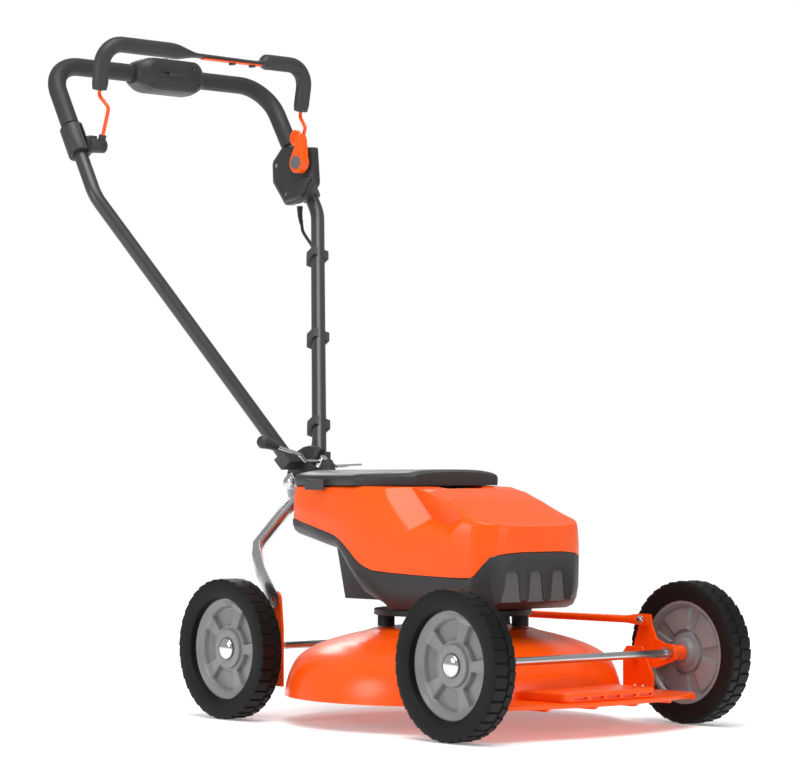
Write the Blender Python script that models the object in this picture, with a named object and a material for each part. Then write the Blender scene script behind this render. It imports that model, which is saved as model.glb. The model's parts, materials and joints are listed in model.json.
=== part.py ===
"""Battery push lawn mower for Blender 4.5, in metres, +Z up.

The front faces -Y and +X is the mower's left. Shapes are written with the blade's axis at x = y = 0
and the ground at z = 0. One empty then moves everything so that the object's box is centred in y.
Each moving body has an empty on its joint's axis, and its pieces are parented to that empty.
"""

import math

import bmesh
import bpy
from mathutils import Matrix, Vector

# Clearances
GAP = 0.0003
RUNNING = 0.0006

# Overall layout
WHEEL_R = 0.105
WHEEL_WIDTH = 0.039
TRACK = 0.465
WHEELBASE = 0.507
AXLES_AHEAD = 0.0105
FRONT_AXLE_Y = -WHEELBASE / 2 - AXLES_AHEAD
REAR_AXLE_Y = WHEELBASE / 2 - AXLES_AHEAD

# Deck
DECK_R = 0.251
DECK_RIM_Z = 0.040
DECK_TOP_Z = 0.140
DECK_SEAT_R = 0.115
SHEET = 0.0022
DECK_HOLE_R = 0.032
DECK_STEPS = 40
DECK_CURVE = (
    (0.0, 1.0), (0.096, 0.945), (0.29, 0.89), (0.55, 0.79), (0.735, 0.68),
    (0.86, 0.56), (0.934, 0.39), (0.982, 0.18), (1.0, 0.0),
)

# Apron in front of the deck
APRON_Z = 0.050
APRON_THICK = 0.003
APRON_FRONT_Y = -0.349
APRON_HALF = 0.200
PLATFORM_HALF = 0.090
PLATFORM_FRONT_Y = -0.338
PLATFORM_RISE = 0.014
TOOTH_DROP = 0.0075
TOOTH_STEP = 0.084

# Ears, arms and the cutting height linkage
EAR_X = 0.1845
EAR_THICK = 0.004
FRAME_X = 0.1715
FRAME_THICK = 0.004
ARM_X = 0.190
ARM_THICK = 0.004
ARM_REACH = 0.064
PIVOT_DROP = 0.0055
LINK_BACK = 0.013
LINK_RISE = 0.0525
PIVOT_R = 0.005
LINK_PIN_R = 0.004
LINK_R = 0.006
PIVOT_Z = WHEEL_R - PIVOT_DROP
FRONT_PIVOT_Y = FRONT_AXLE_Y + ARM_REACH
REAR_PIVOT_Y = REAR_AXLE_Y + ARM_REACH

# Axles and wheels
AXLE_R = 0.006
CAP_R = 0.0125
WHEEL_STEPS = 28
HUB_IN = 0.018
HUB_OUT = 0.006
HUB_R = 0.030
RIM_R = 0.0756
RIM_FACE = 0.0074
RIM_BACK = 0.016
WEB = 0.005

# Body shell: half-width, parting line, top and underside, each against y
WALL = 0.0026
PLAN = (
    (-0.192, 0.040), (-0.187, 0.070), (-0.178, 0.089), (-0.157, 0.109), (-0.063, 0.126),
    (0.020, 0.1365), (0.084, 0.1365), (0.168, 0.124), (0.252, 0.106), (0.268, 0.087), (0.273, 0.060),
)
TOP = ((-0.192, 0.291), (-0.172, 0.298), (-0.065, 0.3435), (-0.020, 0.3495), (0.273, 0.3495))
SHOULDER_DROP = ((-0.172, 0.0), (-0.120, 0.012), (-0.065, 0.018), (-0.036, 0.014), (-0.020, 0.0))
SEAM = (
    (-0.192, 0.2545), (-0.177, 0.2480), (-0.161, 0.2205), (-0.150, 0.2165), (0.019, 0.2235),
    (0.040, 0.2280), (0.062, 0.2375), (0.085, 0.2555), (0.112, 0.2720), (0.139, 0.2795), (0.273, 0.3025),
)
UNDER = (
    (-0.192, 0.186), (-0.178, 0.181), (-0.140, 0.170), (0.004, 0.168), (0.019, 0.178),
    (0.062, 0.193), (0.120, 0.2540), (0.254, 0.2765), (0.273, 0.290),
)
WELL_HALF = 0.108
WELL_REAR_Y = 0.122
WELL_SLANT = 0.022
WELL_FLOOR_Z = 0.181
BAY_HALF = 0.056
BAY_FRONT_Y = 0.066
BAY_REAR_Y = 0.236
BAY_FLOOR_Z = 0.2765

# Lid: half-width against y, and the notch that clears the carry handle
LID_PLAN = (
    (-0.008, 0.083), (0.000, 0.092), (0.066, 0.1325), (0.084, 0.1325), (0.168, 0.120), (0.252, 0.102), (0.265, 0.090),
)
NOTCH_HALF = 0.046
NOTCH_REAR_Y = 0.058
LID_EDGE = 0.012
LID_RISE = 0.026
LATCH_Y = 0.168
LATCH_HALF = 0.022

# Motor, spindle and blade
MOUNT_R = 0.118
POST_CIRCLE_R = 0.100
POST_R = 0.013
MOTOR_R = 0.066
SPIGOT_R = 0.030
MOTOR_TOP_Z = 0.252
SHAFT_R = 0.006
BEARING_R = 0.013
ROTOR_R = 0.038
BLADE_REACH = 0.228
BLADE_HALF_WIDTH = 0.024
BLADE_Z = 0.0505
BLADE_THICK = 0.003

# Handle
TUBE_R = 0.0115
TUBE_WALL = 0.0015
TUBE_SIDES = 10
SLEEVE_R = 0.0150
JOINT_Y = 0.336
JOINT_Z = 0.354
DISC_R = 0.058
DISC_HALF = 0.008
BOSS_R = 0.016
BOSS_X = 0.0405
HANDLE_FOOT = (0.0295, 0.353, 0.385)
HANDLE_BEND = (0.2300, 0.606, 0.8143)
HANDLE_CORNER = (0.2270, 0.7466, 1.0435)
BEND_R = 0.08
CORNER_R = 0.060
SLEEVE_FROM_Z = 0.934

# Struts
STRUT_R = 0.010
STRUT_FLAT = 0.0032
STRUT_BEND = (0.165, 0.267, 0.2535)
STRUT_LUG = (0.1775, 0.206, 0.178)

# Bail, clamp and controls
BAIL_PIVOT = (0.2016, 0.6325, 0.8990)
BAIL_END = (0.2084, 0.6258, 0.9902)
BAIL_CORNER = (0.2100, 0.6130, 1.0650)
BAIL_R = 0.0132
WIRE_R = 0.003
BOX_IN_X = 0.206
BOX_OUT_X = 0.222
COLLAR_R = 0.0165
THUMB_PIVOT = (0.606, 0.898)
MODULE_AHEAD = 0.003
MODULE_DEPTH = 0.0357
MODULE_HEIGHT = 0.0300
LEVER_EYE = (0.310, 0.387)
CABLE_R = 0.0028

BOX_CENTRE_Y = (FRONT_AXLE_Y - WHEEL_R + HANDLE_CORNER[1] - MODULE_AHEAD + MODULE_DEPTH) / 2
LEVER_AXIS = Vector((0, LEVER_EYE[0] - JOINT_Y, LEVER_EYE[1] - JOINT_Z)).normalized()
HANDLE_AXIS = (Vector(HANDLE_BEND) - Vector(HANDLE_FOOT)).normalized()

ORANGE = ("orange", (1.0, 0.11, 0.005), 0.3, 0.0)
DARK = ("dark_plastic", (0.045, 0.045, 0.047), 0.55, 0.0)
BLACK = ("black_rubber", (0.012, 0.012, 0.012), 0.8, 0.0)
GREY = ("rim_grey", (0.30, 0.31, 0.31), 0.45, 0.0)
STEEL = ("bright_steel", (0.72, 0.73, 0.74), 0.25, 1.0)
TUBE = ("tube_grey", (0.07, 0.07, 0.072), 0.4, 0.5)
COPPER = ("copper", (0.55, 0.24, 0.10), 0.35, 1.0)

bodies = {}


def clear_scene():
    for item in list(bpy.data.objects):
        bpy.data.objects.remove(item)


def body(name, parent, origin):
    """An empty on the body's joint axis; origin is in the blade's frame."""
    empty = bpy.data.objects.new(name + "_axis", None)
    bpy.context.collection.objects.link(empty)
    above = bodies[parent][1] if parent else Vector((0, BOX_CENTRE_Y, 0))
    empty.location = Vector(origin) - above
    if parent:
        empty.parent = bodies[parent][0]
    bodies[name] = (empty, Vector(origin))


def look(obj, finish):
    name, colour, roughness, metallic = finish
    material = bpy.data.materials.get(name) or bpy.data.materials.new(name)
    material.use_nodes = True
    shader = material.node_tree.nodes["Principled BSDF"]
    shader.inputs["Base Color"].default_value = (*colour, 1.0)
    shader.inputs["Roughness"].default_value = roughness
    shader.inputs["Metallic"].default_value = metallic
    obj.data.materials.append(material)


def piece(name, solid, body_name, finish, hidden=False):
    """Turns a bmesh in the blade's frame into a named object that rides on a body's empty."""
    empty, origin = bodies[body_name]
    mesh = bpy.data.meshes.new(name)
    bmesh.ops.recalc_face_normals(solid, faces=solid.faces)
    solid.to_mesh(mesh)
    solid.free()
    mesh.transform(Matrix.Translation(-origin))
    mesh.shade_smooth()
    mesh.set_sharp_from_angle(angle=math.radians(35))
    obj = bpy.data.objects.new(name, mesh)
    bpy.context.collection.objects.link(obj)
    obj.parent = empty
    if hidden:
        obj.hide_render = True
        obj.display_type = "WIRE"
    else:
        look(obj, finish)
    return obj


def shape(obj, solid, operation, body_name):
    """Adds or cuts another solid with a Boolean modifier."""
    count = len(obj.modifiers)
    helper = piece(f"{obj.name}_{operation.lower()}_{count}", solid, body_name, None, hidden=True)
    modifier = obj.modifiers.new(operation.title() + str(count), "BOOLEAN")
    modifier.operation = operation
    modifier.solver = "EXACT"
    modifier.object = helper


def at(axis, low_plane, first, second):
    """A point from its place along an axis and two coordinates across it."""
    return {"X": (low_plane, first, second), "Y": (first, low_plane, second), "Z": (first, second, low_plane)}[axis]


def slab(outline, axis, low, high):
    """An outline extruded along an axis from low to high."""
    solid = bmesh.new()
    rings = [[solid.verts.new(at(axis, plane, a, b)) for a, b in outline] for plane in (low, high)]
    solid.faces.new(rings[0])
    solid.faces.new(rings[1][::-1])
    count = len(outline)
    for i in range(count):
        j = (i + 1) % count
        solid.faces.new((rings[0][i], rings[0][j], rings[1][j], rings[1][i]))
    return solid


def block(low, high):
    outline = ((low[0], low[1]), (high[0], low[1]), (high[0], high[1]), (low[0], high[1]))
    return slab(outline, "Z", low[2], high[2])


def turned(profile, axis, centre, steps):
    """A profile of (radius, place along the axis) turned about the axis; radius 0 closes a pole."""
    solid = bmesh.new()
    rings = []
    for radius, along in profile:
        ring = []
        for i in range(steps if radius > 0 else 1):
            turn = 2 * math.pi * i / steps
            point = Vector(at(axis, along, radius * math.cos(turn), radius * math.sin(turn)))
            ring.append(solid.verts.new(Vector(centre) + point))
        rings.append(ring)
    closed = len(rings[0]) > 1
    pairs = list(zip(rings, rings[1:] + rings[:1])) if closed else list(zip(rings, rings[1:]))
    for first, second in pairs:
        for i in range(steps):
            j = (i + 1) % steps
            corners = [first[i % len(first)], first[j % len(first)], second[j % len(second)], second[i % len(second)]]
            kept = [corner for k, corner in enumerate(corners) if corner not in corners[:k]]
            solid.faces.new(kept)
    return solid


def ring_profile(inner, outer, low, high):
    return ((inner, low), (outer, low), (outer, high), (inner, high))


def disc_profile(radius, low, high):
    return ((0, low), (radius, low), (radius, high), (0, high))


def joined(rings, closed=False):
    """Rings of equal count bridged in order, with capped ends unless the run is closed on itself."""
    solid = bmesh.new()
    made = [[solid.verts.new(point) for point in ring] for ring in rings]
    count = len(made[0])
    for first, second in zip(made, made[1:] + made[:1] if closed else made[1:]):
        for i in range(count):
            j = (i + 1) % count
            solid.faces.new((first[i], first[j], second[j], second[i]))
    if not closed:
        solid.faces.new(made[0][::-1])
        solid.faces.new(made[-1])
    return solid


def rounded(corners, radii, steps=5):
    """A path through corners, with an arc of the given radius at each inner corner."""
    corners = [Vector(corner) for corner in corners]
    path = [corners[0]]
    for before, corner, after, radius in zip(corners, corners[1:], corners[2:], radii):
        into = (corner - before).normalized()
        out = (after - corner).normalized()
        angle = into.angle(out)
        if angle < 0.15:
            path.append(corner)
            continue
        reach = radius * math.tan(angle / 2)
        start = corner - into * reach
        side = (out - into * into.dot(out)).normalized()
        for i in range(steps + 1):
            turn = angle * i / steps
            path.append(start + into * radius * math.sin(turn) + side * radius * (1 - math.cos(turn)))
    path.append(corners[-1])
    return path


def rings_along(path, sizes, sides, start_side, fixed=False):
    """Rings round a path; sizes gives each point's (across, along the side vector) half-sizes.
    The side vector is carried along the path, or taken afresh from start_side where it is fixed."""
    rings = []
    side = Vector(start_side)
    for i, point in enumerate(path):
        tangent = (path[min(i + 1, len(path) - 1)] - path[max(i - 1, 0)]).normalized()
        side = Vector(start_side) if fixed else side
        side = (side - tangent * side.dot(tangent)).normalized()
        across = tangent.cross(side)
        wide, tall = sizes[i]
        ring = []
        for k in range(sides):
            turn = 2 * math.pi * (k + 0.5) / sides
            ring.append(point + across * wide * math.cos(turn) + side * tall * math.sin(turn))
        rings.append(ring)
    return rings


def rod(path, radius, sides=10, start_side=(1, 0, 0.01)):
    return joined(rings_along(path, [(radius, radius)] * len(path), sides, start_side))


def pipe(path, outer, inner, sides=TUBE_SIDES, start_side=(0, 1, 0.01)):
    """A tube with open ends: the outer wall runs out along the path and the bore runs back."""
    out = rings_along(path, [(outer, outer)] * len(path), sides, start_side)
    back = rings_along(path, [(inner, inner)] * len(path), sides, start_side)
    return joined(out + back[::-1], closed=True)


def value(table, y):
    """Straight-line reading of a table of (y, value)."""
    if y <= table[0][0]:
        return table[0][1]
    for (y0, v0), (y1, v1) in zip(table, table[1:]):
        if y <= y1:
            return v0 + (v1 - v0) * (y - y0) / (y1 - y0)
    return table[-1][1]


def inset_line(points, depth):
    """The points moved sideways by depth, to the right of their direction of travel."""
    moved = []
    for i, point in enumerate(points):
        before = Vector(points[max(i - 1, 0)])
        after = Vector(points[min(i + 1, len(points) - 1)])
        way = (after - before).normalized()
        moved.append((point[0] + way.y * depth, point[1] - way.x * depth))
    return moved


def half_disc(centre, radius, start, steps=8):
    """Points round half a circle, from the start angle, anticlockwise."""
    found = []
    for i in range(steps + 1):
        turn = start + math.pi * i / steps
        found.append((centre[0] + radius * math.cos(turn), centre[1] + radius * math.sin(turn)))
    return found


def deck():
    span = DECK_R - DECK_SEAT_R
    rise = DECK_TOP_Z - DECK_RIM_Z
    dome = [(DECK_SEAT_R + span * out, DECK_RIM_Z + rise * up) for out, up in DECK_CURVE]
    outer = [(DECK_HOLE_R, DECK_TOP_Z)] + dome
    inner = inset_line(outer, SHEET)
    inner[0] = (DECK_HOLE_R, DECK_TOP_Z - SHEET)
    inner[-1] = (DECK_R - SHEET, DECK_RIM_Z)
    piece("deck_shell", turned(outer + inner[::-1], "Z", (0, 0, 0), DECK_STEPS), "deck", ORANGE)


def apron():
    front = []
    for i in range(9):
        x = -APRON_HALF + 2 * APRON_HALF * i / 8
        front.append((x, APRON_FRONT_Y + 0.038 * (x / APRON_HALF) ** 2))
    reach = DECK_R + GAP
    turn = math.acos(APRON_HALF / reach)
    rear = []
    for i in range(13):
        angle = -turn - (math.pi - 2 * turn) * i / 12
        corner = reach / math.cos(math.pi / DECK_STEPS)
        rear.append((corner * math.cos(angle), corner * math.sin(angle)))
    plate = piece("front_apron", slab(front + rear, "Z", APRON_Z - APRON_THICK, APRON_Z), "deck", ORANGE)
    for x in (-2.4, -1.5, -0.5, 0.5, 1.5, 2.4):
        middle = x * TOOTH_STEP * (APRON_HALF - 0.008) / (2.4 * TOOTH_STEP)
        edge = APRON_FRONT_Y + 0.038 * (middle / APRON_HALF) ** 2
        low = (middle - 0.0035, edge + 0.004, APRON_Z - APRON_THICK - TOOTH_DROP)
        high = (middle + 0.0035, edge + 0.052, APRON_Z - APRON_THICK / 2)
        shape(plate, block(low, high), "UNION", "deck")
    rise = APRON_Z + PLATFORM_RISE
    back = -reach - 0.003
    profile = ((PLATFORM_FRONT_Y, APRON_Z - 0.001), (back, APRON_Z - 0.001), (back, rise + 0.003), (PLATFORM_FRONT_Y + 0.004, rise))
    shape(plate, slab(profile, "X", -PLATFORM_HALF, PLATFORM_HALF), "UNION", "deck")


def deck_edge(x):
    """How far from the blade's axis the deck's skirt reaches at a distance x to the side, with clearance."""
    return math.sqrt((DECK_R + 3 * GAP) ** 2 - x**2) + GAP


def ears(side, name):
    """Front ear: an upright plate with a folded foot, drilled for the arm's pivot."""
    low, high = sorted((side * EAR_X, side * (EAR_X + EAR_THICK)))
    y = FRONT_PIVOT_Y
    foot = APRON_Z + GAP
    rear = -deck_edge(EAR_X)
    outline = (
        (y - 0.034, foot), (rear, foot), (rear, PIVOT_Z + 0.004),
        (rear - 0.008, PIVOT_Z + 0.013), (y - 0.012, PIVOT_Z + 0.013), (y - 0.034, foot + 0.020),
    )
    ear = piece("front_ear_" + name, slab(outline, "X", low, high), "deck", ORANGE)
    flange_in = side * (EAR_X - 0.014)
    flange_out = side * (EAR_X + EAR_THICK / 2)
    first, last = sorted((flange_in, flange_out))
    shape(ear, block((first, y - 0.034, foot), (last, -deck_edge(EAR_X - 0.014), foot + 0.003)), "UNION", "deck")
    hole = turned(disc_profile(PIVOT_R + GAP, side * EAR_X - 0.01, side * EAR_X + 0.01), "X", (0, y, PIVOT_Z), 12)
    shape(ear, hole, "DIFFERENCE", "deck")


def rear_frames(side, name):
    """Rear frame: a bar under the axle, an eye for the arm's pivot and a lug for the strut."""
    low, high = sorted((side * FRAME_X, side * (FRAME_X + FRAME_THICK)))
    lug_y, lug_z = STRUT_LUG[1], STRUT_LUG[2]
    bar_low = 0.048
    bar_high = 0.074
    front = deck_edge(FRAME_X) + 0.004
    eye_y = REAR_PIVOT_Y
    lug = half_disc((lug_y, lug_z), 0.013, 0)
    eye = half_disc((eye_y, PIVOT_Z), 0.014, 0)
    outline = [(front, bar_low), (eye_y, bar_low), (eye_y + 0.014, bar_low + 0.02)] + eye
    outline += [(eye_y - 0.014, bar_high + 0.006), (eye_y - 0.022, bar_high), (lug_y + 0.020, bar_high)]
    outline += [(lug_y + 0.013, bar_high + 0.012)] + lug + [(front, lug_z - 0.040)]
    frame = piece("rear_frame_" + name, slab(outline, "X", low, high), "deck", ORANGE)
    for place, radius in (((eye_y, PIVOT_Z), PIVOT_R + GAP), ((lug_y, lug_z), 0.0035)):
        drill = disc_profile(radius, side * FRAME_X - 0.01, side * FRAME_X + 0.01)
        shape(frame, turned(drill, "X", (0, *place), 12), "DIFFERENCE", "deck")


def motor():
    top = value(UNDER, 0.004) - GAP * 2
    plate_low = top - 0.009
    mount = piece("motor_mount", turned(ring_profile(SPIGOT_R * 0.6, MOUNT_R, plate_low, top), "Z", (0, 0, 0), 28), "deck", DARK)
    for i in range(4):
        turn = math.pi * (2 * i + 1) / 4
        centre = (POST_CIRCLE_R * math.cos(turn), POST_CIRCLE_R * math.sin(turn), 0)
        post = disc_profile(POST_R, DECK_TOP_Z + GAP, plate_low + 0.004)
        shape(mount, turned(post, "Z", centre, 10), "UNION", "deck")
    floor = WELL_FLOOR_Z + WALL + GAP
    plate = 0.008
    seat = BEARING_R + GAP
    bore = SHAFT_R + 0.003
    housing = (
        (bore, top + GAP), (SPIGOT_R, top + GAP), (SPIGOT_R, floor), (MOTOR_R, floor), (MOTOR_R, MOTOR_TOP_Z), (bore, MOTOR_TOP_Z), (bore, MOTOR_TOP_Z - 0.003),
        (seat, MOTOR_TOP_Z - 0.003), (seat, MOTOR_TOP_Z - plate - 0.002), (MOTOR_R - 0.003, MOTOR_TOP_Z - plate - 0.002),
        (MOTOR_R - 0.003, floor + plate + 0.002), (seat, floor + plate + 0.002), (seat, floor + 0.003), (bore, floor + 0.003),
    )
    piece("motor_housing", turned(housing, "Z", (0, 0, 0), 20), "deck", DARK)
    inside = SHAFT_R + GAP
    bearing_h = 0.0065
    low_bearing = ring_profile(inside, BEARING_R, floor + 0.003 + GAP, floor + 0.003 + bearing_h)
    high_bearing = ring_profile(inside, BEARING_R, MOTOR_TOP_Z - 0.003 - bearing_h, MOTOR_TOP_Z - 0.003 - GAP)
    piece("bearing_lower", turned(low_bearing, "Z", (0, 0, 0), 12), "deck", STEEL)
    piece("bearing_upper", turned(high_bearing, "Z", (0, 0, 0), 12), "deck", STEEL)
    core_low = floor + 0.015
    core_high = MOTOR_TOP_Z - 0.015
    stator = ring_profile(ROTOR_R + 0.001, MOTOR_R - 0.003 - GAP, core_low, core_high)
    piece("motor_stator", turned(stator, "Z", (0, 0, 0), 20), "deck", COPPER)
    rotor = ring_profile(SHAFT_R + GAP, ROTOR_R, core_low, core_high)
    piece("motor_rotor", turned(rotor, "Z", (0, 0, 0), 20), "blade_rotor", STEEL)
    board = block((-0.055, 0.074, WELL_FLOOR_Z + WALL + GAP), (0.055, WELL_REAR_Y - WALL - 0.003, WELL_FLOOR_Z + 0.022))
    piece("motor_controller", board, "deck", DARK)


def spindle():
    blade_top = BLADE_Z + BLADE_THICK
    flange_low = blade_top + GAP
    flange_high = flange_low + 0.004
    bolt_r = 0.0040
    holder = (
        (bolt_r + GAP, flange_low), (0.024, flange_low), (0.024, flange_high), (0.016, flange_high + 0.002),
        (0.016, flange_high + 0.028), (SHAFT_R + GAP, flange_high + 0.028), (SHAFT_R + GAP, flange_high + GAP),
        (bolt_r + GAP, flange_high + GAP),
    )
    piece("blade_holder", turned(holder, "Z", (0, 0, 0), 12), "blade_rotor", STEEL)
    shaft = disc_profile(SHAFT_R, flange_high + 2 * GAP, MOTOR_TOP_Z + 0.003)
    piece("motor_shaft", turned(shaft, "Z", (0, 0, 0), 12), "blade_rotor", STEEL)
    tip = BLADE_REACH
    half = BLADE_HALF_WIDTH
    outline = (
        (-tip, -half), (tip - 0.012, -half), (tip, -half * 0.4), (tip, half),
        (-tip + 0.012, half), (-tip, half * 0.4),
    )
    blade = piece("cutting_blade", slab(outline, "Z", BLADE_Z, blade_top), "blade_rotor", STEEL)
    hole = turned(disc_profile(bolt_r + GAP, BLADE_Z - 0.005, blade_top + 0.005), "Z", (0, 0, 0), 20)
    shape(blade, hole, "DIFFERENCE", "blade_rotor")
    head = BLADE_Z - GAP
    bolt = ((0, head - 0.006), (0.009, head - 0.006), (0.010, head), (bolt_r, head), (bolt_r, flange_high), (0, flange_high))
    piece("blade_bolt", turned(bolt, "Z", (0, 0, 0), 12), "blade_rotor", STEEL)


def stations(table_list, front, rear):
    found = {front, rear}
    for table in table_list:
        found |= {y for y, _ in table if front < y < rear}
    return sorted(found)


def cover_solid(inset, reach_down):
    """Cross-sections of the upper cover from front to rear, with its lower edge on the parting line."""
    front = PLAN[0][0] + inset * 1.2
    rear = PLAN[-1][0] - inset * 1.2
    rings = []
    for y in stations((PLAN, TOP, SEAM, SHOULDER_DROP), front, rear):
        wide = value(PLAN, y) - inset
        low = value(SEAM, y) + GAP
        high = value(TOP, y) - inset
        shoulder = high - value(SHOULDER_DROP, y)
        right = (
            (wide * 0.99, low - reach_down), (wide * 0.99, low), (wide, low + 0.35 * (shoulder - low)),
            (wide * 0.975, shoulder - 0.014), (wide * 0.93, shoulder), (wide * 0.68, high),
        )
        loop = [(x, z) for x, z in right] + [(-x, z) for x, z in reversed(right)]
        kept = loop if reach_down else loop[1:-1]
        rings.append([Vector((x, y, z)) for x, z in kept])
    return joined(rings)


def pan_solid(inset, reach_up):
    """Cross-sections of the lower pan, hanging from the parting line."""
    front = PLAN[0][0] + inset * 1.2
    rear = PLAN[-1][0] - inset * 1.2
    rings = []
    for y in stations((PLAN, UNDER, SEAM), front, rear):
        wide = value(PLAN, y) - inset
        high = value(SEAM, y) - GAP
        low = value(UNDER, y) + inset
        right = (
            (wide * 0.99, high + reach_up), (wide * 0.99, high), (wide * 0.985, low + 0.6 * (high - low)),
            (wide * 0.95, low + 0.25 * (high - low)), (wide * 0.88, low),
        )
        loop = [(x, z) for x, z in right] + [(-x, z) for x, z in reversed(right)]
        kept = loop if reach_up else loop[1:-1]
        rings.append([Vector((x, y, z)) for x, z in kept])
    return joined(rings)


def shells():
    cover = piece("upper_cover", cover_solid(0, 0), "deck", ORANGE)
    shape(cover, cover_solid(WALL, 0.02), "DIFFERENCE", "deck")
    opening = block((-BAY_HALF, BAY_FRONT_Y, 0.33), (BAY_HALF, BAY_REAR_Y, 0.37))
    shape(cover, opening, "DIFFERENCE", "deck")
    pan = piece("lower_pan", pan_solid(0, 0), "deck", DARK)
    above = 0.008
    step_y = 0.062
    brim_y = WELL_REAR_Y + WELL_SLANT
    brim_z = value(UNDER, brim_y) + above
    well = (
        (0.002, WELL_FLOOR_Z), (WELL_REAR_Y, WELL_FLOOR_Z), (brim_y, brim_z),
        (0.120, value(UNDER, 0.120) + above), (step_y, value(UNDER, step_y) + above), (0.002, value(UNDER, 0.019) + above),
    )
    shape(pan, slab(well, "X", -WELL_HALF, WELL_HALF), "UNION", "deck")
    shape(pan, pan_solid(WALL, 0.02), "DIFFERENCE", "deck")
    floor = WELL_FLOOR_Z + WALL
    inner = ((-0.02, floor), (WELL_REAR_Y - WALL, floor), (brim_y - WALL, brim_z), (brim_y - WALL, 0.30), (-0.02, 0.30))
    shape(pan, slab(inner, "X", -WELL_HALF + WALL, WELL_HALF - WALL), "DIFFERENCE", "deck")
    hole = turned(disc_profile(DECK_HOLE_R, 0.15, 0.20), "Z", (0, 0, 0), 24)
    shape(pan, hole, "DIFFERENCE", "deck")
    bay_top = TOP[-1][1]
    bay_low = (-BAY_HALF + GAP, BAY_FRONT_Y + GAP, BAY_FLOOR_Z)
    bay = piece("battery_bay", block(bay_low, (BAY_HALF - GAP, BAY_REAR_Y - GAP, bay_top)), "deck", DARK)
    inside_low = (bay_low[0] + WALL, bay_low[1] + WALL, BAY_FLOOR_Z + WALL)
    inside_high = (BAY_HALF - GAP - WALL, BAY_REAR_Y - GAP - WALL, bay_top + 0.02)
    shape(bay, block(inside_low, inside_high), "DIFFERENCE", "deck")
    pack_low = Vector(inside_low) + Vector((0.002, 0.002, GAP))
    pack_high = Vector((inside_high[0] - 0.002, inside_high[1] - 0.002, bay_top - 0.006))
    piece("battery_pack", block(pack_low, pack_high), "deck", DARK)
    foot = bay_top + GAP
    grip = ((0.012, foot), (0.048, foot), (0.050, 0.366), (0.045, 0.372), (0.020, 0.370), (0.010, 0.358))
    piece("carry_handle", slab(grip, "X", -0.036, 0.036), "deck", DARK)


def lid():
    """The lid is hinged at its front edge, where two lobes pass either side of the carry handle."""
    base = TOP[-1][1] + GAP
    rings = []
    for y, wide in LID_PLAN:
        drop = 0.004 if y in (LID_PLAN[0][0], LID_PLAN[-1][0]) else 0.0
        right = ((wide * 0.99, base), (wide, base + LID_EDGE), (wide * 0.86, base + LID_RISE - 0.006 - drop))
        loop = list(right) + [(0, base + LID_RISE - drop)] + [(-x, z) for x, z in reversed(right)]
        rings.append([Vector((x, y, z)) for x, z in loop])
    cap = piece("battery_lid", joined(rings), "battery_lid", DARK)
    hollow = block((-BAY_HALF - 0.010, BAY_FRONT_Y, base - 0.01), (BAY_HALF + 0.010, BAY_REAR_Y, base + 0.012))
    shape(cap, hollow, "DIFFERENCE", "battery_lid")
    notch = block((-NOTCH_HALF, LID_PLAN[0][0] - 0.02, base - 0.01), (NOTCH_HALF, NOTCH_REAR_Y, base + 0.05))
    shape(cap, notch, "DIFFERENCE", "battery_lid")
    wide = value(PLAN, LATCH_Y - LATCH_HALF)
    tab_low = (-wide - 0.0045, LATCH_Y - LATCH_HALF, base - 0.007)
    tab = block(tab_low, (-wide - 0.0005, LATCH_Y + LATCH_HALF, base + 0.009))
    piece("lid_latch", tab, "lid_latch", DARK)


def wheel(side, y, name):
    centre = (side * TRACK / 2, y, WHEEL_R)
    bore = AXLE_R + GAP
    rim = [
        (bore, -HUB_IN), (0.016, -HUB_IN), (0.020, -WEB), (RIM_R - 0.010, -WEB),
        (RIM_R - 0.004, -RIM_BACK), (RIM_R, -RIM_BACK), (RIM_R, RIM_FACE), (RIM_R - 0.005, RIM_FACE),
        (RIM_R - 0.012, 0), (HUB_R, 0), (HUB_R - 0.003, HUB_OUT), (bore, HUB_OUT),
    ]
    turned_rim = turned([(r, side * along) for r, along in rim], "X", centre, WHEEL_STEPS)
    piece("rim_" + name, turned_rim, "wheel_" + name, GREY)
    half = WHEEL_WIDTH / 2
    inner = RIM_R + GAP
    tyre = [
        (inner, -RIM_BACK), (0.080, -half + 0.002), (0.092, -half), (0.101, -half + 0.001), (WHEEL_R, -half + 0.005),
        (WHEEL_R, half - 0.005), (0.101, half - 0.001), (0.092, half), (0.080, half - 0.003), (inner, RIM_FACE + 0.003),
    ]
    piece("tyre_" + name, turned([(r, side * along) for r, along in tyre], "X", centre, WHEEL_STEPS), "wheel_" + name, BLACK)


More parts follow.
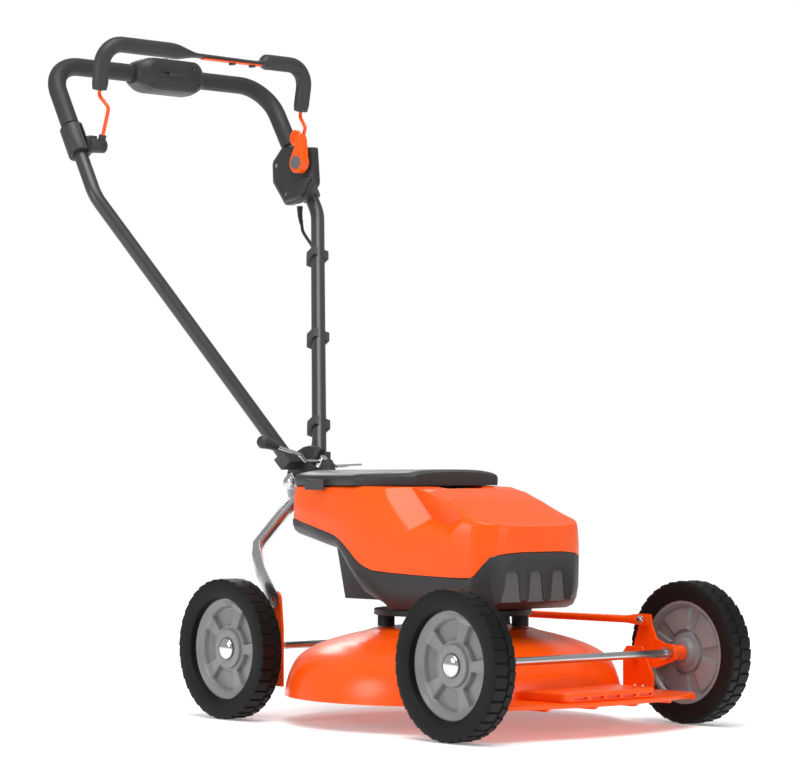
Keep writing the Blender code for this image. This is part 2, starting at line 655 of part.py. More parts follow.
def arm(side, end, pivot_y, stub_from):
    """A bellcrank plate: axle boss in front, pivot behind, link pin hole above."""
    low, high = sorted((side * ARM_X, side * (ARM_X + ARM_THICK)))
    axle = (pivot_y - ARM_REACH, WHEEL_R)
    pin = (pivot_y - LINK_BACK, PIVOT_Z + LINK_RISE)
    name = f"{end}_arm_{'left' if side > 0 else 'right'}"
    outline = [
        (axle[0] - 0.012, axle[1] + 0.004), (axle[0] - 0.011, axle[1] - 0.008), (axle[0] - 0.002, axle[1] - 0.013),
        (axle[0] + 0.030, PIVOT_Z - 0.018), (pivot_y + 0.006, PIVOT_Z - 0.013), (pivot_y + 0.013, PIVOT_Z - 0.004),
        (pivot_y + 0.012, PIVOT_Z + 0.010), (pin[0] + 0.011, pin[1] - 0.004), (pin[0] + 0.010, pin[1] + 0.008),
        (pin[0] - 0.010, pin[1] + 0.008), (pin[0] - 0.012, pin[1] - 0.006), (pin[0] - 0.022, axle[1] + 0.020),
        (axle[0] + 0.010, axle[1] + 0.013), (axle[0] - 0.004, axle[1] + 0.013),
    ]
    body_name = end + "_arms"
    plate = piece(name, slab(outline, "X", low, high), body_name, ORANGE)
    boss_end = TRACK / 2 - HUB_IN - RUNNING
    first, last = sorted((side * (ARM_X + 0.001), side * boss_end))
    shape(plate, turned(disc_profile(0.0115, first, last), "X", (0, *axle), 14), "UNION", body_name)
    stub_low, stub_high = sorted((side * stub_from, side * (ARM_X + 0.0015)))
    shape(plate, turned(disc_profile(PIVOT_R, stub_low, stub_high), "X", (0, pivot_y, PIVOT_Z), 14), "UNION", body_name)
    bore_low, bore_high = sorted((side * (ARM_X - 0.02), side * (boss_end + 0.02)))
    bore = disc_profile(AXLE_R + GAP, bore_low, bore_high)
    shape(plate, turned(bore, "X", (0, *axle), 14), "DIFFERENCE", body_name)
    hole = disc_profile(LINK_PIN_R + GAP, side * ARM_X - 0.02, side * ARM_X + 0.02)
    shape(plate, turned(hole, "X", (0, *pin), 12), "DIFFERENCE", body_name)


def axle_profile():
    """Half of an axle's turned outline: rod, then a retaining cap outside the hub."""
    face = TRACK / 2 + HUB_OUT + RUNNING
    cap = 0.006
    return ((AXLE_R, face), (CAP_R, face), (CAP_R, face + cap * 0.5), (CAP_R * 0.7, face + cap * 0.85), (0, face + cap))


def axles():
    half = axle_profile()
    profile = [(r, -along) for r, along in reversed(half)] + list(half)
    piece("front_axle", turned(profile, "X", (0, FRONT_AXLE_Y, WHEEL_R), 14), "front_arms", STEEL)
    straight = 0.145
    back = 0.024
    lift = -0.001
    inner = 0.115
    z = WHEEL_R
    end = half[0][1]
    corners = (
        (-end - 0.001, REAR_AXLE_Y, z), (-straight, REAR_AXLE_Y, z), (-inner, REAR_AXLE_Y + back, z + lift),
        (inner, REAR_AXLE_Y + back, z + lift), (straight, REAR_AXLE_Y, z), (end + 0.001, REAR_AXLE_Y, z),
    )
    path = rounded(corners, (0.02, 0.02, 0.02, 0.02), 3)
    rear = piece("rear_axle", rod(path, AXLE_R, 10, (0, 1, 0.01)), "rear_arms", STEEL)
    for side in (-1, 1):
        cap = [(0, side * end)] + [(r, side * along) for r, along in half[1:]]
        shape(rear, turned(cap, "X", (0, REAR_AXLE_Y, z), 14), "UNION", "rear_arms")


def link():
    """The rod that ties the left arms together; each end is flattened and pinned."""
    x = ARM_X - GAP * 2 - LINK_R
    z = PIVOT_Z + LINK_RISE
    front = FRONT_PIVOT_Y - LINK_BACK
    rear = REAR_PIVOT_Y - LINK_BACK
    places = (front - 0.010, front + 0.012, front + 0.030, rear - 0.030, rear - 0.012, rear + 0.010)
    path = [Vector((x + (0.003 if i in (0, 1, 4, 5) else 0), y, z)) for i, y in enumerate(places)]
    flat = (0.0085, 0.002)
    sizes = [flat, flat, (LINK_R, LINK_R), (LINK_R, LINK_R), flat, flat]
    bar = piece("link_rod", joined(rings_along(path, sizes, 12, (1, 0, 0))), "link_rod", ORANGE)
    for y in (front, rear):
        pin = disc_profile(LINK_PIN_R, x + 0.001, ARM_X + ARM_THICK)
        shape(bar, turned(pin, "X", (0, y, z), 16), "UNION", "link_rod")
    rod_x = ARM_X + ARM_THICK + 0.0045
    foot = Vector((rod_x, REAR_PIVOT_Y - 0.004, PIVOT_Z + 0.030))
    top = Vector((rod_x, REAR_PIVOT_Y - 0.030, PIVOT_Z + 0.150))
    way = (top - foot).normalized()
    path = [foot - way * 0.018, foot, top - way * 0.036, top - way * 0.034, top - way * 0.004, top]
    sizes = [(0.004, 0.004)] * 3 + [(0.008, 0.008)] * 2 + [(0.004, 0.004)]
    piece("height_lever", joined(rings_along(path, sizes, 12, (1, 0, 0))), "rear_arms", DARK)


def struts(side, name):
    """Round strut with flattened ends: an eye on the clamp bolt above, a plate on the rear lug below."""
    top = Vector((side * (BOSS_X + RUNNING + STRUT_FLAT / 2), JOINT_Y, JOINT_Z))
    knee = top + Vector((side * 0.001, -0.012, -0.026))
    bend = Vector((side * STRUT_BEND[0], *STRUT_BEND[1:]))
    lug_x = FRAME_X + FRAME_THICK + GAP + STRUT_FLAT / 2
    lug = Vector((side * lug_x, *STRUT_LUG[1:]))
    upper = (bend - knee).normalized()
    lower = (lug - bend).normalized()
    rise = Vector((0, (bend - lug).y, (bend - lug).z))
    corner = lug + rise * 0.35
    path = [
        top + Vector((0, 0.005, 0.012)), top, knee - Vector((0, -0.003, -0.006)), knee + upper * 0.022,
        bend - upper * 0.012, bend + lower * 0.006, lug + rise * 0.55, corner, lug, lug - rise.normalized() * 0.011,
    ]
    flat = STRUT_FLAT / 2
    wide = 0.0125
    sizes = [
        (0.009, flat), (wide, flat), (wide, flat), (STRUT_R, STRUT_R), (STRUT_R, STRUT_R),
        (0.012, 0.006), (wide + 0.001, flat), (wide, flat), (wide, flat), (0.007, flat),
    ]
    bar = piece("strut_" + name, joined(rings_along(path, sizes, 12, (1, 0, 0), fixed=True)), "deck", STEEL)
    for place, radius in ((top, SHAFT_R + GAP), (lug, 0.0035)):
        drill = disc_profile(radius, place.x - 0.006, place.x + 0.006)
        shape(bar, turned(drill, "X", (0, place.y, place.z), 12), "DIFFERENCE", "deck")


def joint():
    """The disc at the handle's foot, with a socket for each tube end and a notch for the clamp screw."""
    bore = SHAFT_R + GAP
    profile = (
        (bore, -BOSS_X), (BOSS_R, -BOSS_X), (BOSS_R, -DISC_HALF - 0.004), (DISC_R - 0.006, -DISC_HALF),
        (DISC_R, -DISC_HALF + 0.003), (DISC_R, DISC_HALF - 0.003), (DISC_R - 0.006, DISC_HALF),
        (BOSS_R, DISC_HALF + 0.004), (BOSS_R, BOSS_X), (bore, BOSS_X),
    )
    disc = piece("joint_disc", turned(profile, "X", (0, JOINT_Y, JOINT_Z), 24), "handle", DARK)
    for side in (-1, 1):
        foot = Vector((side * HANDLE_FOOT[0], *HANDLE_FOOT[1:]))
        way = Vector((side * HANDLE_AXIS.x, HANDLE_AXIS.y, HANDLE_AXIS.z))
        across = way.cross(Vector((1, 0, 0))).normalized()
        rings = []
        for along, half in ((-0.006, 0.0130), (0.014, 0.0132)):
            middle = foot + way * along
            inner = side * 0.004
            outer = middle.x + side * 0.0142
            ring = []
            for x, tall in ((inner, half), (outer, half), (outer, -half), (inner, -half)):
                point = middle + across * tall
                ring.append(Vector((x, point.y, point.z)))
            rings.append(ring)
        shape(disc, joined(rings), "UNION", "handle")
        shape(disc, rod([foot, foot + way * 0.08], (TUBE_R + GAP) / math.cos(math.pi / 16), 16, (0, 1, 0)), "DIFFERENCE", "handle")
    centre = Vector((0, JOINT_Y, JOINT_Z))
    notch = [centre + LEVER_AXIS * 0.031, centre + LEVER_AXIS * 0.075]
    shape(disc, rod(notch, 0.0135, 16, (1, 0, 0)), "DIFFERENCE", "handle")
    hole = [centre + LEVER_AXIS * 0.017, centre + LEVER_AXIS * 0.035]
    shape(disc, rod(hole, 0.0045, 16, (1, 0, 0)), "DIFFERENCE", "handle")
    head = BOSS_X + RUNNING * 2 + STRUT_FLAT
    bolt = (
        (0, -head - 0.007), (0.008, -head - 0.006), (0.011, -head - 0.003), (0.011, -head), (SHAFT_R, -head),
        (SHAFT_R, head), (0.011, head), (0.011, head + 0.003), (0.008, head + 0.006), (0, head + 0.007),
    )
    piece("clamp_bolt", turned(bolt, "X", (0, JOINT_Y, JOINT_Z), 12), "deck", STEEL)


def clamp_lever():
    """Screw with an eye, and the bent bar that turns it."""
    centre = Vector((0, JOINT_Y, JOINT_Z))
    eye = Vector((0, *LEVER_EYE))
    reach = (eye - centre).length
    places = [0.019, 0.0315, 0.0316, 0.037, 0.0371, reach - 0.003, reach + 0.008]
    sizes = [(0.004, 0.004)] * 2 + [(0.008, 0.008)] * 2 + [(0.0065, 0.0065)] * 3
    path = [centre + LEVER_AXIS * place for place in places]
    screw = piece("clamp_lever", joined(rings_along(path, sizes, 12, (1, 0, 0))), "clamp_lever", STEEL)
    y = LEVER_EYE[0]
    z = LEVER_EYE[1]
    corners = (
        (0.080, y, z - 0.006), (0.028, y, z - 0.008), (0.010, y, z), (-0.034, y, z), (-0.046, y, z + 0.011), (-0.098, y, z + 0.0245),
    )
    bar = rod(rounded(corners, (0.012, 0.012, 0.008, 0.008), 3), 0.003, 10, (0, 1, 0))
    shape(screw, bar, "UNION", "clamp_lever")
    start = Vector((-0.090, y, z + 0.0225))
    way = (Vector(corners[5]) - Vector(corners[4])).normalized()
    places = [0, 0.001, 0.016, 0.030, 0.036]
    radii = [0.006, 0.0075, 0.0085, 0.011, 0.007]
    path = [start + way * place for place in places]
    knob = piece("lever_knob", joined(rings_along(path, [(r, r) for r in radii], 12, (0, 1, 0))), "clamp_lever", BLACK)
    socket = [start - way * 0.010, start + way * 0.009]
    shape(knob, rod(socket, 0.003 + GAP, 12, (0, 1, 0)), "DIFFERENCE", "clamp_lever")


def mirrored(point):
    return Vector((-point[0], point[1], point[2]))


def handle_path():
    """The whole handle tube, from its right foot over the top bar to its left foot."""
    foot = Vector(HANDLE_FOOT) + HANDLE_AXIS * GAP
    right = [mirrored(foot), mirrored(HANDLE_BEND), mirrored(HANDLE_CORNER)]
    left = [Vector(HANDLE_CORNER), Vector(HANDLE_BEND), foot]
    return rounded(right + left, (BEND_R, CORNER_R, CORNER_R, BEND_R), 5)


def upper_tube(z, side):
    """A point on the straight upper tube at a height."""
    low, high = Vector(HANDLE_BEND), Vector(HANDLE_CORNER)
    share = (z - low.z) / (high.z - low.z)
    point = low.lerp(high, share)
    return Vector((side * point.x, point.y, point.z))


def lower_tube(z, side):
    low, high = Vector(HANDLE_FOOT), Vector(HANDLE_BEND)
    point = low.lerp(high, (z - low.z) / (high.z - low.z))
    return Vector((side * point.x, point.y, point.z))


def handle():
    path = handle_path()
    piece("handle_tube", pipe(path, TUBE_R, TUBE_R - TUBE_WALL), "handle", TUBE)
    corner_arcs = path[7:-7]
    sleeve = [upper_tube(SLEEVE_FROM_Z, -1)] + corner_arcs + [upper_tube(SLEEVE_FROM_Z, 1)]
    bore = (TUBE_R + GAP) / math.cos(math.pi / TUBE_SIDES)
    piece("grip_sleeve", pipe(sleeve, SLEEVE_R, bore), "handle", BLACK)


def module():
    """Control box round the middle of the top bar, with the start button in its top."""
    y = HANDLE_CORNER[1] - MODULE_AHEAD
    z = HANDLE_CORNER[2] - 0.002
    flat = math.cos(math.pi / 12)
    ends = ((-0.062, 0.55), (-0.046, 1.0), (0.056, 1.0), (0.076, 0.55))
    rings = []
    for x, share in ends:
        ring = []
        for i in range(12):
            turn = 2 * math.pi * (i + 0.5) / 12
            deep = MODULE_DEPTH / flat * share * math.cos(turn)
            ring.append(Vector((x, y + deep, z + MODULE_HEIGHT / flat * share * math.sin(turn))))
        rings.append(ring)
    box = piece("control_module", joined(rings), "handle", DARK)
    bar = [Vector((-0.1, HANDLE_CORNER[1], HANDLE_CORNER[2])), Vector((0.1, HANDLE_CORNER[1], HANDLE_CORNER[2]))]
    shape(box, rod(bar, (SLEEVE_R + GAP) / math.cos(math.pi / 16), 16, (0, 1, 0)), "DIFFERENCE", "handle")
    top = z + MODULE_HEIGHT
    well = turned(disc_profile(0.0085 + GAP, top - 0.007, top + 0.01), "Z", (0.005, y, 0), 12)
    shape(box, well, "DIFFERENCE", "handle")
    button = turned(disc_profile(0.0085, top - 0.0035, top + 0.002), "Z", (0.005, y, 0), 12)
    piece("start_button", button, "start_button", BLACK)


def bail_clamp():
    """Split collar on the right tube, with a boss that takes the bail's pivot."""
    low = upper_tube(0.885, -1)
    high = upper_tube(0.930, -1)
    clamp = piece("bail_clamp", rod([low, high], 0.0195, 20, (0, 1, 0)), "handle", DARK)
    pivot = Vector(BAIL_PIVOT)
    boss = disc_profile(0.012, -BOX_IN_X - 0.018, -BOX_IN_X)
    shape(clamp, turned(boss, "X", (0, pivot.y, pivot.z), 20), "UNION", "handle")
    arm_part = block((-BOX_IN_X - 0.018, pivot.y, pivot.z - 0.011), (-BOX_IN_X - 0.002, pivot.y + 0.024, pivot.z + 0.016))
    shape(clamp, arm_part, "UNION", "handle")
    bore_path = [upper_tube(0.86, -1), upper_tube(0.96, -1)]
    shape(clamp, rod(bore_path, (TUBE_R + GAP) / math.cos(math.pi / 16), 16, (0, 1, 0)), "DIFFERENCE", "handle")
    hole = disc_profile(WIRE_R + GAP, -BOX_IN_X - 0.013, -BOX_IN_X + 0.01)
    shape(clamp, turned(hole, "X", (0, pivot.y, pivot.z), 16), "DIFFERENCE", "handle")


def switch_box():
    outline = (
        (0.592, 0.925), (0.586, 0.862), (0.612, 0.836), (0.665, 0.830), (0.700, 0.872), (0.702, 0.908), (0.675, 0.932),
    )
    box = piece("switch_box", slab(outline, "X", BOX_IN_X, BOX_OUT_X), "handle", DARK)
    collar = rod([upper_tube(0.842, 1), upper_tube(0.925, 1)], COLLAR_R, 20, (0, 1, 0))
    shape(box, collar, "UNION", "handle")
    bore_path = [upper_tube(0.822, 1), upper_tube(0.96, 1)]
    shape(box, rod(bore_path, (TUBE_R + GAP) / math.cos(math.pi / 16), 16, (0, 1, 0)), "DIFFERENCE", "handle")
    for place, radius, depth in ((BAIL_PIVOT[1:], WIRE_R, 0.013), (THUMB_PIVOT, 0.004, 0.009)):
        drill = disc_profile(radius + GAP, BOX_IN_X - 0.01, BOX_IN_X + depth)
        shape(box, turned(drill, "X", (0, *place), 16), "DIFFERENCE", "handle")
    y, z = THUMB_PIVOT
    lever_out = BOX_IN_X - 0.0085
    lever_in = lever_out - 0.016
    foot = [(y + 0.018 * math.cos(t), z + 0.018 * math.sin(t)) for t in [math.radians(a) for a in range(150, 391, 30)]]
    shape_top = [(y + 0.014, z + 0.030), (y + 0.020, z + 0.046), (y + 0.012, z + 0.056), (y - 0.004, z + 0.050), (y - 0.010, z + 0.028)]
    thumb = piece("thumb_lever", slab(foot + shape_top, "X", lever_in, lever_out), "thumb_lever", ORANGE)
    pin = disc_profile(0.004, lever_out - 0.002, BOX_IN_X + 0.008)
    shape(thumb, turned(pin, "X", (0, y, z), 16), "UNION", "thumb_lever")


def bail():
    """Operator-presence bail: one moulded grip and a bent wire leg at each side."""
    centre_y = BAIL_CORNER[1]
    centre_z = BAIL_CORNER[2]
    path = rounded(
        (mirrored(BAIL_END), mirrored(BAIL_CORNER), (-0.100, centre_y, centre_z), (-0.068, centre_y, centre_z),
         (-0.010, centre_y + 0.002, centre_z - 0.004), (0.108, centre_y + 0.002, centre_z - 0.004),
         (0.122, centre_y, centre_z), Vector(BAIL_CORNER), Vector(BAIL_END)),
        (0.036, 0.02, 0.02, 0.02, 0.02, 0.02, 0.036), 3,
    )
    sizes = []
    for point in path:
        middle = -0.055 < point.x < 0.115 and point.z > 1.0
        sizes.append((0.004, 0.0105) if middle else (BAIL_R, BAIL_R))
    grip = piece("bail_grip", joined(rings_along(path, sizes, 12, (0, 1, 0.01))), "bail", BLACK)
    for side, name in ((-1, "right"), (1, "left")):
        end = Vector((side * BAIL_END[0], *BAIL_END[1:]))
        way = (Vector((side * BAIL_CORNER[0], *BAIL_CORNER[1:])) - end).normalized()
        shape(grip, rod([end - way * 0.01, end + way * 0.021], WIRE_R + GAP, 12, (0, 1, 0)), "DIFFERENCE", "bail")
        pivot = Vector((side * BAIL_PIVOT[0], *BAIL_PIVOT[1:]))
        corners = (
            pivot + Vector((side * 0.015, 0, 0)), pivot, pivot + Vector((side * 0.002, -0.026, 0.060)),
            end - way * 0.010, end + way * 0.020,
        )
        wire = rod(rounded(corners, (0.005, 0.009, 0.009), 3), WIRE_R, 10, (0, 1, 0.01))
        piece("bail_wire_" + name, wire, "bail", ORANGE)


def cable():
    """Cable from the switch box down the back of the left tube, held by three clips."""
    lean = (Vector(HANDLE_BEND) - Vector(HANDLE_FOOT)).normalized()
    back = Vector((1, 0, 0)).cross(lean).normalized()
    back = back if back.y > 0 else -back
    behind = back * (TUBE_R + CABLE_R + 4 * GAP + 0.001)
    hand = [
        Vector((0.226, 0.650, 0.8285)), Vector((0.226, 0.649, 0.812)), Vector((0.225, 0.643, 0.795)),
        Vector((0.2215, 0.634, 0.782)),
    ]
    heights = (0.762, 0.748, 0.726, 0.65, 0.5935, 0.54, 0.49, 0.4465, 0.430)
    hand += [lower_tube(z, 1) + behind for z in heights]
    hand += [lower_tube(z, 1) + back * 0.0212 for z in (0.412, 0.392)]
    hand += [Vector((0.0335, 0.3620, 0.3620)), Vector((0.0330, 0.3545, 0.3535))]
    points = smooth(hand, 3)
    curve = bpy.data.curves.new("handle_cable", "CURVE")
    curve.dimensions = "3D"
    curve.bevel_depth = CABLE_R
    curve.bevel_resolution = 2
    curve.use_fill_caps = True
    spline = curve.splines.new("POLY")
    spline.points.add(len(points) - 1)
    empty, origin = bodies["handle"]
    for i, point in enumerate(points):
        spline.points[i].co = (*(point - origin), 1)
        spline.points[i].radius = 1.0 + 0.9 * max(0.0, 1 - i / 4)
    obj = bpy.data.objects.new("handle_cable", curve)
    bpy.context.collection.objects.link(obj)
    obj.parent = empty
    look(obj, BLACK)
    for number, z in enumerate((0.737, 0.5935, 0.4465), 1):
        on_tube = lower_tube(z, 1)
        rings = []
        for along in (-0.009, 0.009):
            ring = []
            for sideways, rear in ((0.015, -0.010), (0.015, 0.012), (0.008, 0.024), (-0.008, 0.024), (-0.015, 0.012), (-0.015, -0.010)):
                across = lean.cross(back)
                ring.append(on_tube + lean * along + back * rear + across * sideways)
            rings.append(ring)
        clip = piece(f"cable_clip_{number}", joined(rings), "handle", DARK)
        bore = [on_tube - lean * 0.03, on_tube + lean * 0.03]
        shape(clip, rod(bore, (TUBE_R + GAP) / math.cos(math.pi / 16), 16, (0, 1, 0)), "DIFFERENCE", "handle")
        line = [on_tube + behind - lean * 0.03, on_tube + behind + lean * 0.03]
        shape(clip, rod(line, CABLE_R + GAP * 2, 12, (0, 1, 0)), "DIFFERENCE", "handle")


def smooth(points, steps):
    """Points on a Catmull-Rom curve through the given points."""
    found = []
    for i in range(len(points) - 1):
        before = points[max(i - 1, 0)]
        after = points[min(i + 2, len(points) - 1)]
        for k in range(steps):
            t = k / steps
            a = 2 * points[i]
            b = (points[i + 1] - before) * t
            c = (2 * before - 5 * points[i] + 4 * points[i + 1] - after) * t * t
            d = (3 * points[i] - before - 3 * points[i + 1] + after) * t**3
            found.append((a + b + c + d) / 2)
    return found + [points[-1]]


def make_bodies():
    body("deck", None, (0, 0, 0))
    body("blade_rotor", "deck", (0, 0, BLADE_Z))
    body("battery_lid", "deck", (0, LID_PLAN[0][0], TOP[-1][1] + 0.004))
    body("lid_latch", "battery_lid", (-value(PLAN, LATCH_Y - LATCH_HALF) - 0.0025, LATCH_Y, TOP[-1][1] + 0.008))
    body("front_arms", "deck", (0, FRONT_PIVOT_Y, PIVOT_Z))
    body("rear_arms", "deck", (0, REAR_PIVOT_Y, PIVOT_Z))
    body("link_rod", "front_arms", (0, FRONT_PIVOT_Y - LINK_BACK, PIVOT_Z + LINK_RISE))
    for end, y in (("front", FRONT_AXLE_Y), ("rear", REAR_AXLE_Y)):
        for side, name in ((1, "left"), (-1, "right")):
            body(f"wheel_{end}_{name}", end + "_arms", (side * TRACK / 2, y, WHEEL_R))
    body("handle", "deck", (0, JOINT_Y, JOINT_Z))
    body("clamp_lever", "handle", (0, *LEVER_EYE))
    body("bail", "handle", (0, *BAIL_PIVOT[1:]))
    body("thumb_lever", "handle", (BOX_IN_X, *THUMB_PIVOT))
    body("start_button", "handle", (0.005, HANDLE_CORNER[1] - 0.003, HANDLE_CORNER[2]))


def main():
    clear_scene()
    make_bodies()
    deck()
    apron()
    motor()
    spindle()
    shells()
    lid()
    axles()
    link()
    joint()
    clamp_lever()
    handle()
    module()
    bail_clamp()
    switch_box()
    bail()
    cable()
    for side, name in ((1, "left"), (-1, "right")):
        ears(side, name)
        rear_frames(side, name)
        struts(side, name)
        arm(side, "front", FRONT_PIVOT_Y, EAR_X - 0.006)
        arm(side, "rear", REAR_PIVOT_Y, FRAME_X - 0.004)
        wheel(side, FRONT_AXLE_Y, "front_" + name)
        wheel(side, REAR_AXLE_Y, "rear_" + name)


main()
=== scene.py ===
import json
import math
import bpy
import bmesh
import numpy as np
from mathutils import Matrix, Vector

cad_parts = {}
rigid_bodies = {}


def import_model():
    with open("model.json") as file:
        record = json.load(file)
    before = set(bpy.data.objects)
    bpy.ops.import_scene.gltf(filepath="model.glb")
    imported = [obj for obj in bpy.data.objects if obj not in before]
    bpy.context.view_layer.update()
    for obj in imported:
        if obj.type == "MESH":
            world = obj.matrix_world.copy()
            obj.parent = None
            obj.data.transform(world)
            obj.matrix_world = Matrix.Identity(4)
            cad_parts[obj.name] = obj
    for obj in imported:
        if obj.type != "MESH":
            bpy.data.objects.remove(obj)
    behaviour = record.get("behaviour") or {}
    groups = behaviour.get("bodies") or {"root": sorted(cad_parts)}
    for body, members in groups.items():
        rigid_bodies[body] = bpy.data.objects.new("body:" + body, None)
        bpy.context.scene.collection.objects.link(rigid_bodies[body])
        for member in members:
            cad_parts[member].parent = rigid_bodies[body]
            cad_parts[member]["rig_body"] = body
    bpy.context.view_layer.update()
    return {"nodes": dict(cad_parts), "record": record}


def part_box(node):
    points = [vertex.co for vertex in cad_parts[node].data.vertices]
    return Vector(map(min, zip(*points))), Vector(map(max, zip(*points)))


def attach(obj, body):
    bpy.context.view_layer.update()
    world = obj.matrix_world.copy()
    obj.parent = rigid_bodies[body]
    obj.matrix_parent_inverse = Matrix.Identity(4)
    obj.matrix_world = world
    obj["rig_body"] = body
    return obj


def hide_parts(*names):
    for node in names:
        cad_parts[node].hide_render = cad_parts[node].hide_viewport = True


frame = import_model()
nodes = frame["nodes"]
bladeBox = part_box("cutting_blade")
bladeY = (bladeBox[0].y + bladeBox[1].y) / 2  # shapes are written with the blade's axis at x = y = 0
print("frame loaded,", len(nodes), "nodes")


# grids and faces

def cornerCut(points, times):
    # every stretch of a line is replaced by its quarter and three-quarter points, with both ends kept
    points = np.asarray(points, float)
    for _ in range(times):
        near = 0.75 * points[:-1] + 0.25 * points[1:]
        far = 0.25 * points[:-1] + 0.75 * points[1:]
        middle = np.stack([near, far], axis=1).reshape(-1, *points.shape[1:])
        points = np.concatenate([points[:1], middle[1:-1], points[-1:]])
    return points


def read(table, at):
    # straight-line reading of a table of (place, value)
    table = np.asarray(table, float)
    return np.interp(at, table[:, 0], table[:, 1])


def smoothStep(value, low, high):
    # 0 below low, 1 above high, and 3t^2 - 2t^3 between
    t = np.clip((value - low) / (high - low), 0, 1)
    return t * t * (3 - 2 * t)


def spaced(line, count):
    # a line's points placed afresh at equal distances along it
    line = np.asarray(line, float)
    run = np.concatenate([[0], np.cumsum(np.linalg.norm(np.diff(line, axis=0), axis=1))])
    places = np.linspace(0, run[-1], count)
    return np.stack([np.interp(places, run, line[:, k]) for k in range(line.shape[1])], axis=1)


def respace(rows, count):
    # columns of a grid of rows placed afresh, equally along the mean row
    mean = rows.mean(axis=0)
    run = np.concatenate([[0], np.cumsum(np.linalg.norm(np.diff(mean, axis=0), axis=1))])
    share = np.interp(np.linspace(0, run[-1], count), run, np.arange(len(run)))
    low = np.clip(np.floor(share).astype(int), 0, len(run) - 2)
    part = (share - low)[None, :, None]
    return rows[:, low] * (1 - part) + rows[:, low + 1] * part


def surface(grid, wrapRows=False, wrapColumns=False):
    # a grid of points (rows, columns, 3) with a four-sided face between each neighbouring four
    rowCount, columnCount = grid.shape[:2]
    r = np.arange(rowCount if wrapRows else rowCount - 1)
    c = np.arange(columnCount if wrapColumns else columnCount - 1)
    r, c = np.meshgrid(r, c, indexing="ij")
    r2, c2 = (r + 1) % rowCount, (c + 1) % columnCount
    faces = np.stack([r * columnCount + c, r * columnCount + c2, r2 * columnCount + c2,
                      r2 * columnCount + c], axis=-1)
    return grid.reshape(-1, 3), faces.reshape(-1, 4).tolist()


def onAxis(axis, along, first, second):
    # coordinates from the place along an axis and the two across it
    order = {"x": (along, first, second), "y": (first, along, second), "z": (first, second, along)}[axis]
    return np.stack(np.broadcast_arrays(*order), axis=-1)


def revolve(profile, axis, centre, steps=64, closed=False):
    # radius and place of each profile point carried round the axis: r cos t, r sin t
    profile = np.asarray(profile, float)
    turn = np.linspace(0, 2 * np.pi, steps, endpoint=False)
    radius = profile[:, :1]
    grid = onAxis(axis, profile[:, 1:] + 0 * turn, radius * np.cos(turn), radius * np.sin(turn))
    return surface(grid + np.asarray(centre), wrapRows=closed, wrapColumns=True)


def unit(rows):
    # each row divided by its length
    return rows / np.maximum(np.linalg.norm(rows, axis=-1, keepdims=True), 1e-12)


def sweep(path, wide, tall=None, sides=24, side=(0, 1, 0.01), bulge=0.0):
    # a ring round each point of a path: wide across and tall along the side vector, square to the way;
    # both ends close on a point, pushed out by bulge along a quarter round
    path = np.asarray(path, float)
    wide = np.broadcast_to(np.asarray(wide, float), len(path))
    tall = wide if tall is None else np.broadcast_to(np.asarray(tall, float), len(path))
    way = unit(np.gradient(path, axis=0))
    up = unit(np.asarray(side, float) - way * (way @ np.asarray(side, float))[:, None])
    across = np.cross(way, up)
    turn = np.linspace(0, 2 * np.pi, sides, endpoint=False) + np.pi / sides
    ring = wide[:, None, None] * np.cos(turn)[None, :, None] * across[:, None]
    ring = ring + tall[:, None, None] * np.sin(turn)[None, :, None] * up[:, None]
    quarter = np.linspace(0, np.pi / 2, 5)[1:, None, None]
    head = path[0] - way[0] * bulge * np.sin(quarter) + ring[0] * np.cos(quarter)
    tail = path[-1] + way[-1] * bulge * np.sin(quarter) + ring[-1] * np.cos(quarter)
    return surface(np.concatenate([head[::-1], path[:, None] + ring, tail]), wrapColumns=True)


def arcs(corners, radii, steps=10):
    # a path through corners with a round arc at each inner one
    corners = [np.asarray(corner, float) for corner in corners]
    path = [corners[0]]
    for before, corner, after, radius in zip(corners, corners[1:], corners[2:], radii):
        into, out = unit(corner - before), unit(after - corner)
        angle = math.acos(float(np.clip(into @ out, -1, 1)))
        if angle < 0.05:
            path.append(corner)
            continue
        start = corner - into * radius * math.tan(angle / 2)
        side = unit(out - into * (into @ out))
        turn = np.linspace(0, angle, steps + 1)[:, None]
        path.extend(start + into * radius * np.sin(turn) + side * radius * (1 - np.cos(turn)))
    path.append(corners[-1])
    return np.array(path)


def plate(outline, axis, low, high):
    # an outline carried from low to high along an axis, closed by one face at each end
    outline = np.asarray(outline, float)
    count = len(outline)
    points = np.concatenate([onAxis(axis, place, outline[:, 0], outline[:, 1]) for place in (low, high)])
    k = np.arange(count)
    sides = np.stack([k, (k + 1) % count, (k + 1) % count + count, k + count], axis=1).tolist()
    return points, sides + [list(range(count)), list(range(count, 2 * count))]


def block(low, high):
    # a box between two opposite corners
    return plate([(low[0], low[1]), (high[0], low[1]), (high[0], high[1]), (low[0], high[1])], "z",
                 low[2], high[2])


def roundRectangle(low, high, radius, steps=6):
    # the outline of a rectangle whose corners are quarter circles
    turn = np.linspace(0, np.pi / 2, steps)
    found = []
    for k, (x, y) in enumerate(((high[0], high[1]), (low[0], high[1]), (low[0], low[1]), (high[0], low[1]))):
        cx = x - radius if x == high[0] else x + radius
        cy = y - radius if y == high[1] else y + radius
        found += list(zip(cx + radius * np.cos(turn + k * np.pi / 2),
                          cy + radius * np.sin(turn + k * np.pi / 2)))
    return found


def disc(radius, low, high, edge=0.0004):
    # profile of a round bar with a small chamfer at each end
    return ((0, low), (radius - edge, low), (radius, low + edge), (radius, high - edge),
            (radius - edge, high), (0, high))


